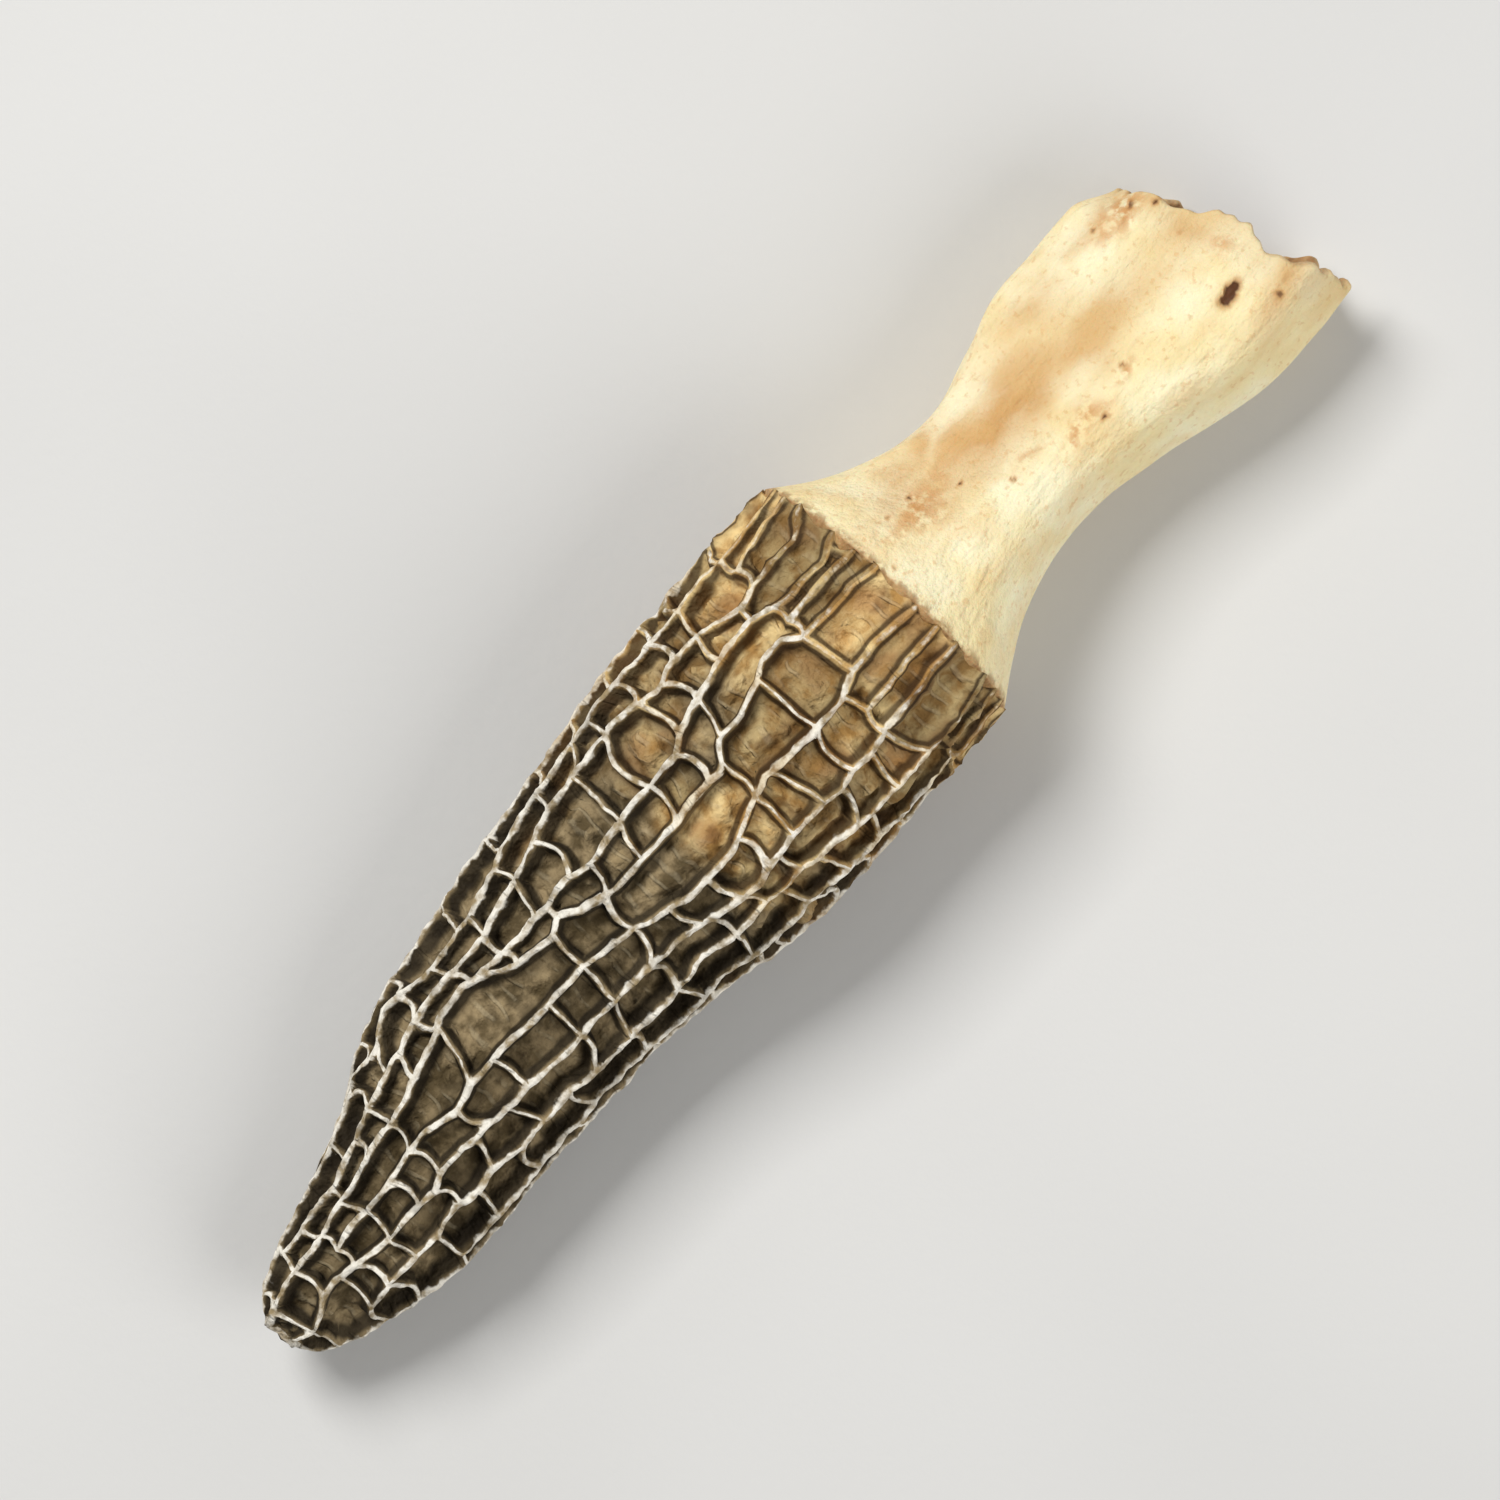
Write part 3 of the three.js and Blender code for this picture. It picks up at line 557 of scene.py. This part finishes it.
def shoelace(loop):
    """Area and length of a closed line of 2-D points."""
    after = np.roll(loop, -1, axis=0)
    area = np.sum(loop[:, 0] * after[:, 1] - after[:, 0] * loop[:, 1]) / 2
    return area, np.sum(np.linalg.norm(after - loop, axis=1))


def nearest(points, starts, ends):
    """For each point: its distance to the closest segment, the number of that segment, and where on it."""
    side = ends - starts
    off = points[:, None] - starts
    share = np.clip(np.sum(off * side, axis=2) / np.sum(side * side, axis=1), 0, 1)
    gap = np.linalg.norm(off - share[..., None] * side, axis=2)
    best = np.argmin(gap, axis=1)
    row = np.arange(len(points))
    return gap[row, best], best, share[row, best]


def inside(points, loop):
    """Which points lie inside a closed line."""
    x, y = points[:, 0, None], points[:, 1, None]
    (x0, y0), (x1, y1) = loop.T, np.roll(loop, -1, axis=0).T
    spans = (y0 > y) != (y1 > y)
    rise = np.where(y1 == y0, 1, y1 - y0)
    return np.sum(spans & (x < x0 + (y - y0) * (x1 - x0) / rise), axis=1) % 2 == 1


def pit_points(loop, draw):
    """Points inside a pit: lines beside each ridge, and a scattered grid over the floor."""
    after = np.roll(loop, -1, axis=0)
    way = after - loop
    normal = np.stack([-way[:, 1], way[:, 0]], axis=1) / np.linalg.norm(way, axis=1, keepdims=True)
    inward = normal + np.roll(normal, 1, axis=0)
    inward /= np.maximum(np.linalg.norm(inward, axis=1, keepdims=True), 0.1)
    mitre = np.clip(np.sum(inward * normal, axis=1, keepdims=True), 0.6, 1)
    found = []
    for offset in PIT_OFFSETS:
        row = loop + inward * offset / mitre
        found.append(row[nearest(row, loop, after)[0] > 0.96 * offset])
    low, high = loop.min(axis=0), loop.max(axis=0)
    grid = [
        (p + 0.4 * FLOOR_STEP * (draw() - 0.5), q + 0.4 * FLOOR_STEP * (draw() - 0.5))
        for p in np.arange(low[0], high[0], FLOOR_STEP)
        for q in np.arange(low[1], high[1], FLOOR_STEP)
    ]
    grid = np.array(grid).reshape(-1, 2)
    found.append(grid[nearest(grid, loop, after)[0] > PIT_OFFSETS[-1] + 0.6 * FLOOR_STEP])
    points = np.concatenate(found)
    points = points[inside(points, loop)]
    apart = np.linalg.norm(points[:, None] - points, axis=2)
    return points[~np.any(np.tril(apart < CLOSEST, -1), axis=1)]


def add_pit(surface, loop, draw):
    """One pit: its half of the ridges round it, their walls and the floor."""
    s, angle, sink, strength = np.array([point[:4] for point in loop]).T
    names = [point[4] for point in loop]
    radius = girth(s.mean())
    flat = np.stack([s, (angle[0] + wrapped(angle - angle[0])) * radius], axis=1)
    area, length = shoelace(flat)
    depth = np.clip(DEPTH_PER_SIZE * area / length, SHALLOWEST_PIT, PIT_DEPTH)
    inner = pit_points(flat, draw)
    points = np.concatenate([flat, inner])
    ridge = strength > 0
    gap, side, share = nearest(points, flat[ridge], np.roll(flat, -1, axis=0)[ridge])
    crest_sink = mix(sink[ridge][side], np.roll(sink, -1)[ridge][side], share)
    room = gap.max()
    places = sunk_points(points[:, 0], points[:, 1] / radius, 0)
    width = strength[ridge][side]
    thin = width * (1 + layered(noise_at, places, RIDGE_UNEVEN))
    to_seam = SKIN_LENGTH - points[:, 0]
    pleated = 1 - smooth(PLEATED[1], PLEATED[0], to_seam)
    foot = np.minimum(mix(WALL_FOOT, room, pleated), 0.95 * room)
    wall = smooth(CREST_HALF * thin, foot, gap)
    floor = smooth(0, room, gap)
    x = section(CAP_OUTLINE, place_along(s.mean()))[0]
    swell = mix(*SWELL, draw()) * smooth(*SWELL_PLACES, x) * (1 - 0.5 * pleated)
    profile = mix(wall, floor, FLOOR_BOWL) - swell * smooth(0.7 * foot, room, gap) * wall
    run_out = mix(SEAM_DEPTH, 1, smooth(0, SEAM_RAMP, to_seam)) * mix(1, PLEAT_DEPTH, pleated)
    crest = (1 - smooth(*CREST_EDGE, gap / thin)) * mix(PALE_LEAST, 1, width) * mix(1, PLEAT_PALE, pleated)
    # Painted shade: a dark band in the pit along the foot of each ridge's wall
    painted_groove_shade = smooth(*GROOVE_SHADE_START, gap) * (1 - smooth(*GROOVE_SHADE_END, gap))
    tone = np.full(len(points), draw())
    marks = np.stack([crest, painted_groove_shade, tone, floor], axis=1)
    rows = np.stack([points[:, 0], points[:, 1] / radius, crest_sink + depth * profile * run_out], axis=1)
    outline = [list(range(len(flat)))]
    _, _, triangles, origins, *_ = delaunay_2d_cdt([Vector(p) for p in points], [], outline, 1, 1e-6)
    numbers = surface.add(rows, marks, names + [None] * len(inner))
    for triangle in triangles:
        surface.faces.append(tuple(numbers[origins[i][0]] for i in reversed(triangle)))


def tip_pit_rows(loop, surface):
    """The small pit at the very tip, in rings of (distance in from its ridge, depth)."""
    steps = [(0, 0), (0.14, 0.02), (0.3, 0.12), (0.48, 0.38), (0.72, 0.56)]
    rings = []
    for inward, sink in steps:
        rows = [(TIP_RING - inward, point[1], sink) for point in loop]
        crest = 1 - smooth(0.1, 0.35, inward)
        # Painted shade, deepest at the middle of the small pit at the tip
        painted_groove_shade = smooth(0.1, 0.5, inward)
        names = None if inward else [point[4] for point in loop]
        rings.append(surface.add(rows, [(crest, painted_groove_shade, 0.5, smooth(0.3, 0.8, inward))] * len(rows), names))
    for ring, inner in zip(rings, rings[1:]):
        surface.strip(ring, inner)
    middle = surface.add([(0.02, 0, 0.6)], [(0, 1, 0.5, 1)])[0]
    surface.fan(rings[-1], middle)


def wrinkle_skin(surface):
    """Turns (s, angle, sink) into points, with crinkled crests, creased walls and uneven floors."""
    s, angle, sink = np.array(surface.points, float).T
    crest, _, _, floor = np.array(surface.marks).T
    base = sunk_points(s, angle, 0.5 * sink)
    loose = smooth(0, 1.2, SKIN_LENGTH - s)
    sink = sink + loose * crest * layered(noise_at, base, CREST_CRINKLE)
    sink = sink + loose * floor * layered(noise_at, base, FLOOR_CRINKLE)
    creases = 1 - np.abs(noise_at(base, *CREASE_WAVES)) / CREASE_HALF
    sink = sink - loose * (1 - crest) * CREASE_HEIGHT * np.clip(creases, 0, 1)
    points = sunk_points(s, angle, sink)
    sway = layered(noise_vectors, base, SKIN_SWAY)
    sway = sway + crest[:, None] * layered(noise_vectors, base, CREST_SWAY)
    points = points + sway * loose[:, None]
    points[:, 0] += SEAM_FRAY * (1 - smooth(0, 1, SKIN_LENGTH - s)) * (1 + noise_at(base, 0.8, 47))
    points[:, 2] = np.maximum(points[:, 2], 0)
    surface.points = list(points)


def add_cap_hollow(surface, loop):
    """The end face at the seam, and the hollow behind it up to its rounded end near the tip."""
    thickness = PIT_DEPTH + CAP_WALL
    angles = np.array([point[1] for point in loop])
    outer = [surface.named[point[4]] for point in loop]
    hidden = [(0, 0, 0.5, 0)]
    for n in range(HOLLOW_RINGS + 1):
        share = n / HOLLOW_RINGS
        x = mix(CAP_LENGTH, CAP_HOLLOW_END + 1, share)
        _, width, height, shift, lift = section(CAP_OUTLINE, place_along(skin_distance(x)))
        closing = math.sqrt(1 - 0.75 * share**6)
        y = shift + (width - thickness) * closing * np.cos(angles)
        z = lift + (height - thickness) * closing * np.sin(angles)
        shifted = x + seam_shift(angles, CAP_LENGTH - x)
        ring = surface.add(np.stack([shifted, y, z], axis=1), hidden * len(y))
        surface.strip(outer, ring)
        outer = ring
    x, _, _, shift, lift = section(CAP_OUTLINE, place_along(skin_distance(CAP_HOLLOW_END)))
    surface.fan(outer, surface.add([(x, shift, lift)], hidden)[0])


def make_cap(material):
    surface = Surface()
    draw = seeded(NET_SEED + 1)
    pits, rings = Net().loops()
    rings.sort(key=lambda loop: loop[0][0])
    for loop in pits:
        add_pit(surface, loop, draw)
    tip_pit_rows(rings[0], surface)
    wrinkle_skin(surface)
    add_cap_hollow(surface, rings[1])
    return surface.piece("morel_cap", ["crest", "painted_groove_shade", "tone", "floor"], material)


# The stem's mesh
STEM_SIDES = 240
STEM_RINGS = 150
STEM_INNER_RINGS = 60
# Where the stem runs on under the ends of the cap's ridges: distance back from its end, and depth
COLLAR = [(1.0, 1.1), (0.8, 0.75), (0.6, 0.5), (0.42, 0.32), (0.25, 0.18), (0.1, 0.07)]

# Markings of the stem's upper side: distance from the tip, sideways place, half length, half width, strength
# Tan patches along the valley of the upper side: partly the stem's own tan, partly painted shade
TAN_AND_SHADE_PATCHES = [
    (62, 4.2, 3.5, 1.2, 0.8),
    (67.5, 2.3, 6.5, 1.6, 1),
    (74.5, 1.7, 4, 1.4, 0.7),
    (73.5, 4.6, 2.5, 1.6, 0.6),
    (80, 5.8, 3.2, 0.7, 0.5),
    (83, 1.5, 1.2, 1.2, 0.6),
    (83.5, -5, 3, 0.9, 0.6),
]
RUST_PATCHES = [
    (60.6, 2.1, 2.2, 1.1, 0.9),
    (67.3, -0.5, 1.1, 0.3, 0.6),
    (70.8, -2, 2, 0.5, 0.9),
    (74.6, -1, 0.9, 0.4, 0.9),
    (80, 5.3, 1, 0.4, 0.7),
    (81.4, 4.8, 1.4, 0.5, 1),
    (83.6, -0.6, 0.7, 0.8, 0.7),
    (84.6, -4.9, 1.4, 0.5, 0.5),
]
SPECKS = [
    (57.1, 0.8, 0.2, 0.2, 0.8),
    (59, 3, 0.22, 0.2, 0.9),
    (60.1, 1.3, 0.2, 0.18, 0.6),
    (60.7, 3, 0.25, 0.22, 1),
    (63.4, 1.3, 0.25, 0.2, 1),
    (65.6, -0.7, 0.28, 0.22, 0.9),
    (71.9, -2.3, 0.3, 0.22, 1),
    (74.7, -1, 0.28, 0.22, 0.9),
    (79.4, 5.4, 0.25, 0.2, 0.9),
    (81.9, 4.9, 0.5, 0.2, 1),
    (83.1, 4, 0.3, 0.25, 1),
    (82.8, 1.8, 0.25, 0.2, 0.7),
    (83.9, -5, 0.35, 0.3, 1),
]
DARK_SPOT = [
    (81.7, -2.9, 0.7, 0.42, 1.6),
    (82.4, -2.65, 0.6, 0.38, 1.6),
]
SPOT_DENT = 0.3

# Noise of the stem, in layers as above
EDGE_FRAY = [(0.2, 0.7, 53), (0.12, 0.3, 59)]
PATCH_SWAY = [(1.1, 2.6, 67)]
LONG_WRINKLES = [(0.14, 3.2, 3)]
SHORT_WRINKLES = [(0.05, 1.1, 7)]


def stem_folds(share, angle):
    """How far the stem's skin lies below its outline, as in the CAD source."""

    def near(middle, spread):
        return np.exp(-((wrapped(angle - middle) / spread) ** 2))

    body = smooth(0.03, 0.3, share)
    valley = 1.05 * body * near(1.1 + 0.25 * share, 0.42)
    crease = 0.45 * smooth(0.2, 0.45, share) * (1 - smooth(0.6, 0.8, share)) * near(1.72, 0.13)
    welt = -0.4 * body * near(2.15, 0.25)
    side_hollow = 0.8 * smooth(0.3, 0.6, share) * near(-0.75, 0.35)
    under_hollow = 0.6 * body * near(3.85, 0.45)
    corner = 0.9 * smooth(0.9, 1, share) * near(0, 0.6)
    flutes = 0.12 * body * np.sin(9 * angle + 3 * share)
    return valley + crease + welt + side_hollow + under_hollow + corner + flutes


def foot_end(angle):
    """Distance from the tip at which the torn foot ends; the last term is finer than in the CAD source."""
    side = np.cos(angle)
    tear = 0.35 * np.sin(5 * angle + 0.6) + 0.25 * np.sin(8 * angle + 2)
    ragged = 0.16 * np.sin(17 * angle + 1) * np.sin(3 * angle)
    ragged = ragged + 0.1 * np.sin(31 * angle + 2 * np.sin(4 * angle))
    return LENGTH - 2 - FOOT_SLANT * side - FOOT_CORNER * np.maximum(0, side) ** 3 + tear + ragged


def stem_points(share, angle, depth):
    top = STEM_OUTLINE[0][0]
    places = np.linspace(0, 1, 801)
    even = mix(top, LENGTH, share)
    at = np.interp(even, section(STEM_OUTLINE, places)[0], places)
    _, width, height, shift, lift = section(STEM_OUTLINE, at)
    sink = depth + stem_folds(share, angle)
    wave = 0.3 * smooth(0.6, 1, share) * np.sin(3 * angle + 0.8)
    x = mix(top, foot_end(angle), share) + seam_shift(angle, even - top)
    y = shift + (width - sink) * np.cos(angle)
    z = lift + (height - sink + wave) * np.sin(angle)
    return np.stack([x, y, z], axis=-1)


def stem_wall(share):
    thin = mix(STEM_WALL, LIP_WALL, smooth(0.75, 1, share))
    return mix(PIT_DEPTH + CAP_WALL, thin, smooth(0, 0.25, share))


def patches(points, rows):
    """How strongly the patches mark each point of the upper side."""
    x, y, z = points.T
    found = np.zeros(len(points))
    for place, side, long, wide, strength in rows:
        spread = ((x - place) / long) ** 2 + ((y - side) / wide) ** 2
        found = np.maximum(found, strength * np.exp(-spread))
    return np.where(z > 4, found, 0)


def make_stem(material):
    surface = Surface()
    angles = TURN * np.arange(STEM_SIDES) / STEM_SIDES
    rings = []

    def add_ring(share, depth, within, beyond=0):
        shares = np.full(STEM_SIDES, share)
        even = stem_points(shares, angles, depth)
        frayed = even + layered(noise_vectors, even, EDGE_FRAY)
        spot = patches(frayed, DARK_SPOT)
        wrinkles = layered(noise_at, even * (0.45, 1, 1), LONG_WRINKLES)
        wrinkles = wrinkles + layered(noise_at, even * (0.5, 1, 1), SHORT_WRINKLES)
        sink = depth + wrinkles * smooth(0, 0.1, share) + SPOT_DENT * smooth(0, 1, spot) * (1 - within)
        points = stem_points(shares, angles, sink)
        points[:, 0] += beyond
        points[:, 2] = np.maximum(points[:, 2], min(depth, LIP_WALL))
        swayed = even + layered(noise_vectors, even, PATCH_SWAY)
        marks = [
            shares,
            # how deep the skin lies in its folds, for the painted shade there
            stem_folds(shares, angles),
            np.maximum(spot, patches(frayed, SPECKS)),
            patches(swayed, TAN_AND_SHADE_PATCHES),
            patches(swayed, RUST_PATCHES),
            np.full(STEM_SIDES, within),
        ]
        rings.append(surface.add(points, np.stack(marks, axis=1)))

    for back, depth in COLLAR:
        add_ring(0, depth, 1, -back)
    for n in range(STEM_RINGS + 1):
        add_ring(n / STEM_RINGS, 0, 0 if n else 0.6)
    for share, beyond in ((0.15, 0.12), (0.5, 0.2), (0.85, 0.12)):
        add_ring(1, share * LIP_WALL, share, beyond)
    for n in range(STEM_INNER_RINGS + 1):
        share = 1 - n / STEM_INNER_RINGS
        add_ring(share, stem_wall(share), 1)
    add_ring(0, stem_wall(0), 1, -0.5)
    rings.append(rings[0])
    for ring, before in zip(rings[1:], rings):
        surface.strip(ring, before)
    return surface.piece("morel_stem", ["along", "painted_fold_shade", "speck", "tan_and_shade", "rust", "within"], material)


def tint(red, green, blue):
    """A linear colour from screen values of 0 to 255."""
    values = [c / 255 for c in (red, green, blue)]
    return [c / 12.92 if c < 0.04045 else ((c + 0.055) / 1.055) ** 2.4 for c in values] + [1]


class Finish:
    """A material and short calls that add its nodes."""

    def __init__(self, name, **settings):
        self.material = bpy.data.materials.new(name)
        self.material.use_nodes = True
        self.tree = self.material.node_tree
        self.shader = self.tree.nodes["Principled BSDF"]
        for socket, value in settings.items():
            self.shader.inputs[socket.replace("_", " ")].default_value = value
        self.place = self.tree.nodes.new("ShaderNodeTexCoord").outputs["Object"]

    def node(self, kind, inputs, **settings):
        made = self.tree.nodes.new(kind)
        for key, value in settings.items():
            setattr(made, key, value)
        for socket, value in inputs.items():
            if isinstance(value, bpy.types.NodeSocket):
                self.tree.links.new(value, made.inputs[socket])
            else:
                made.inputs[socket].default_value = value
        return made

    def mark(self, name):
        return self.node("ShaderNodeAttribute", {}, attribute_name=name).outputs["Fac"]

    def grain(self, size, detail=3, stretch=(1, 1, 1)):
        """Noise with waves of a size in mm."""
        scale = [1 / (size * MM) / part for part in stretch]
        place = self.node("ShaderNodeMapping", {"Vector": self.place, "Scale": scale}).outputs["Vector"]
        return self.node("ShaderNodeTexNoise", {"Vector": place, "Scale": 1, "Detail": detail}).outputs["Fac"]

    def math(self, operation, a, b=0.0):
        return self.node("ShaderNodeMath", {0: a, 1: b}, operation=operation).outputs[0]

    def span(self, value, low, high, start=0.0, end=1.0):
        """Maps low..high onto start..end, smoothly and clamped."""
        inputs = {"Value": value, "From Min": low, "From Max": high, "To Min": start, "To Max": end}
        return self.node("ShaderNodeMapRange", inputs, interpolation_type="SMOOTHSTEP").outputs["Result"]

    def blend(self, share, under, over):
        return self.node("ShaderNodeMix", {0: share, 6: under, 7: over}, data_type="RGBA").outputs[2]

    def end(self, colour, height, distance):
        """Joins the colour and a bump of a distance in mm to the shader, and returns the material."""
        self.tree.links.new(colour, self.shader.inputs["Base Color"])
        bump = self.node("ShaderNodeBump", {"Height": height, "Distance": distance * MM, "Strength": 1.0})
        self.tree.links.new(bump.outputs["Normal"], self.shader.inputs["Normal"])
        return self.material


STRIPE = 0.95  # spacing of the fine cross stripes in the pits


def along_x(finish):
    """Distance from the tip in metres, less the middle's."""
    return finish.node("ShaderNodeSeparateXYZ", {0: finish.place}).outputs["X"]


def cap_finish():
    f = Finish("cap flesh", Roughness=0.8, Specular_IOR_Level=0.2)
    crest, painted_groove_shade, tone, floor = (f.mark(name) for name in ("crest", "painted_groove_shade", "tone", "floor"))
    x = along_x(f)
    zones = f.grain(7, 2)
    mottle = f.grain(1.3, 4)
    # Noise for a bump on the crests and for the painted glints along them
    bead_relief_and_glints = f.grain(0.8, 3)
    fine = f.grain(0.35, 5)
    puckers = f.grain(1.9, 3)
    sway = f.math("MULTIPLY", f.grain(3, 1), 14)
    turns = f.math("ADD", f.math("MULTIPLY", x, TURN / (STRIPE * MM)), sway)
    stripes = f.span(f.math("SINE", turns), 0.4, 1)
    stripes = f.math("MULTIPLY", stripes, f.span(f.grain(1.7, 2), 0.45, 0.6))
    warm = f.span(f.math("ADD", x, f.span(zones, 0.3, 0.7, -0.008, 0.008)), -0.009, 0.002)
    olive = f.blend(f.span(mottle, 0.35, 0.65), tint(96, 81, 54), tint(168, 147, 110))
    ochre = f.blend(f.span(mottle, 0.35, 0.65), tint(184, 141, 80), tint(244, 214, 152))
    ochre = f.blend(f.span(f.grain(2.6, 3), 0.5, 0.68, 0, 0.7), ochre, tint(162, 110, 58))
    pits = f.blend(warm, olive, ochre)
    # Painted shade: the floors are darkened where the puckers' bump is low
    painted_hollow_shade = f.blend(warm, tint(50, 40, 22), tint(104, 66, 28))
    pits = f.blend(f.span(puckers, 0.3, 0.47, 0.6, 0), pits, painted_hollow_shade)
    pits = f.blend(f.span(tone, 0.35, 1, 0, 0.55), pits, tint(58, 46, 24))
    pits = f.blend(f.math("MULTIPLY", stripes, f.span(floor, 0, 0.6, 0, 0.16)), pits, tint(226, 212, 178))
    # Painted shade: the pits are darkened in a narrow band along the foot of the ridges' walls
    groove_shade_amount = f.span(painted_groove_shade, 0, 0.9, 0, 0.84)
    pits = f.blend(groove_shade_amount, pits, f.blend(warm, tint(24, 18, 10), tint(46, 28, 11)))
    # The crests' pale colour is their own; the near-white beads along them are painted glints
    pale = f.blend(f.span(bead_relief_and_glints, 0.3, 0.6), tint(164, 144, 108), tint(250, 244, 230))
    buff = f.blend(f.span(bead_relief_and_glints, 0.3, 0.6), tint(158, 126, 84), tint(246, 230, 196))
    pale = f.blend(f.math("MULTIPLY", warm, f.span(f.grain(3.2, 2), 0.42, 0.6, 0, 0.8)), pale, buff)
    ragged = f.span(f.math("ADD", crest, f.math("MULTIPLY", f.grain(0.5, 3), 0.8)), 0.72, 1.05)
    colour = f.blend(f.math("MULTIPLY", ragged, f.span(mottle, 0.25, 0.55, 0.5, 1)), pits, pale)
    relief = f.math("ADD", f.math("MULTIPLY", mottle, 1.8), f.math("MULTIPLY", stripes, 0.5))
    relief = f.math("ADD", relief, f.math("MULTIPLY", puckers, 3))
    relief = f.math("ADD", relief, f.math("MULTIPLY", bead_relief_and_glints, 1.6))
    return f.end(colour, f.math("ADD", fine, relief), 0.17)


def stem_finish():
    soft = {"Subsurface_Weight": 0.12, "Subsurface_Scale": 0.002}
    f = Finish("stem flesh", Roughness=0.6, Specular_IOR_Level=0.3, **soft)
    names = ("along", "painted_fold_shade", "speck", "tan_and_shade", "rust", "within")
    along, painted_fold_shade, speck, tan_and_shade, rust, within = (f.mark(name) for name in names)
    clouds = f.grain(5, 4)
    fibres = f.grain(0.7, 4, (4, 1, 1))
    dabs = f.grain(0.7, 3)
    mottle = f.grain(2, 4, (1.6, 1, 1))
    fine = f.grain(0.25, 4)
    freckles = f.grain(0.45, 3)
    flesh = f.blend(f.span(clouds, 0.35, 0.65), tint(250, 230, 176), tint(255, 244, 204))
    # Painted shade: tan where the skin is sunk in the valley, crease and hollows
    flesh = f.blend(f.span(painted_fold_shade, 0.25, 1.2, 0, 0.45), flesh, tint(226, 192, 136))
    # Partly the stem's own tan, partly painted shade along its valley
    flesh = f.blend(f.math("MULTIPLY", tan_and_shade, f.span(mottle, 0.3, 0.6, 0.65, 1.1)), flesh, tint(206, 158, 98))
    flesh = f.blend(f.span(fibres, 0.55, 0.75, 0, 0.25), flesh, tint(218, 184, 130))
    flesh = f.blend(f.span(mottle, 0.4, 0.7, 0, 0.4), flesh, tint(230, 190, 124))
    flesh = f.blend(f.span(freckles, 0.58, 0.7, 0, 0.35), flesh, tint(216, 162, 96))
    flesh = f.blend(f.math("MULTIPLY", rust, f.span(dabs, 0.38, 0.56, 0, 0.9)), flesh, tint(206, 144, 80))
    flesh = f.blend(f.span(along, 0.9, 1, 0, 0.4), flesh, tint(214, 176, 112))
    seam_edge = f.math("MULTIPLY", f.span(along, 0, 0.02, 1, 0), f.span(dabs, 0.42, 0.58))
    flesh = f.blend(f.math("MULTIPLY", seam_edge, 0.8), flesh, tint(150, 110, 62))
    flesh = f.blend(f.span(speck, 0.08, 0.6, 0, 0.6), flesh, tint(196, 138, 76))
    flesh = f.blend(f.span(speck, 0.45, 1), flesh, tint(92, 54, 24))
    inner = f.blend(f.span(fibres, 0.3, 0.7), tint(156, 116, 74), tint(204, 164, 112))
    colour = f.blend(within, flesh, inner)
    height = f.math("ADD", f.math("MULTIPLY", fibres, 1.2), f.math("MULTIPLY", fine, 0.5))
    return f.end(colour, f.math("ADD", height, f.math("MULTIPLY", mottle, 2)), 0.2)


def plain_floor():
    mesh = bpy.data.meshes.new("floor")
    half = 1.5
    corners = [(-half, -half, 0), (half, -half, 0), (half, half, 0), (-half, half, 0)]
    mesh.from_pydata(corners, [], [(0, 1, 2, 3)])
    f = Finish("floor paper", Roughness=0.9, Specular_IOR_Level=0.2)
    paper = f.blend(f.span(f.grain(60, 2), 0.3, 0.7), tint(214, 213, 210), tint(220, 219, 216))
    mesh.materials.append(f.end(paper, f.grain(0.8, 2), 0.02))
    made = bpy.data.objects.new("floor", mesh)
    bpy.context.scene.collection.objects.link(made)


def soft_light(name, place, size, power):
    """A square light that faces the mushroom."""
    data = bpy.data.lights.new(name, "AREA")
    data.size = size
    data.energy = power
    made = bpy.data.objects.new(name, data)
    made.location = place
    made.rotation_euler = (-Vector(place)).to_track_quat("-Z", "Y").to_euler()
    bpy.context.scene.collection.objects.link(made)


# The camera looks straight down. It is turned as in the photo, with the tip at the lower left.
PHOTO_TURN = math.radians(-47.5)
CAMERA_HEIGHT = 0.62  # in metres
VIEW_WIDTH = 0.088  # in metres, on the surface

# Lights: place in metres (to the right in the picture, up in it, and height), size in metres, power in watts
LIGHTS = {
    "key": ((-0.24, 0.26, 0.46), 0.24, 2.8),
    "fill": ((0.34, -0.24, 0.34), 0.4, 1.4),
}
WORLD_LIGHT = 0.2


def place_camera():
    data = bpy.data.cameras.new("camera")
    data.sensor_width = 36
    data.lens = 36 * CAMERA_HEIGHT / VIEW_WIDTH
    made = bpy.data.objects.new("camera", data)
    made.location = (0, 0, CAMERA_HEIGHT)
    made.rotation_euler = (0, 0, PHOTO_TURN)
    bpy.context.scene.collection.objects.link(made)
    bpy.context.scene.camera = made


def set_light():
    world = bpy.data.worlds.new("studio")
    world.use_nodes = True
    background = world.node_tree.nodes["Background"]
    background.inputs["Color"].default_value = (1, 1, 1, 1)
    background.inputs["Strength"].default_value = WORLD_LIGHT
    bpy.context.scene.world = world
    right = Vector((math.cos(PHOTO_TURN), math.sin(PHOTO_TURN), 0))
    up = Vector((-math.sin(PHOTO_TURN), math.cos(PHOTO_TURN), 0))
    for name, ((aside, upward, height), size, power) in LIGHTS.items():
        soft_light(name, aside * right + upward * up + Vector((0, 0, height)), size, power)


bpy.context.scene.view_settings.view_transform = "Standard"
place_camera()
set_light()
plain_floor()

cap = make_cap(cap_finish())
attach(cap, "root")
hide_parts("cap")

stem = make_stem(stem_finish())
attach(stem, "root")
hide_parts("stem")
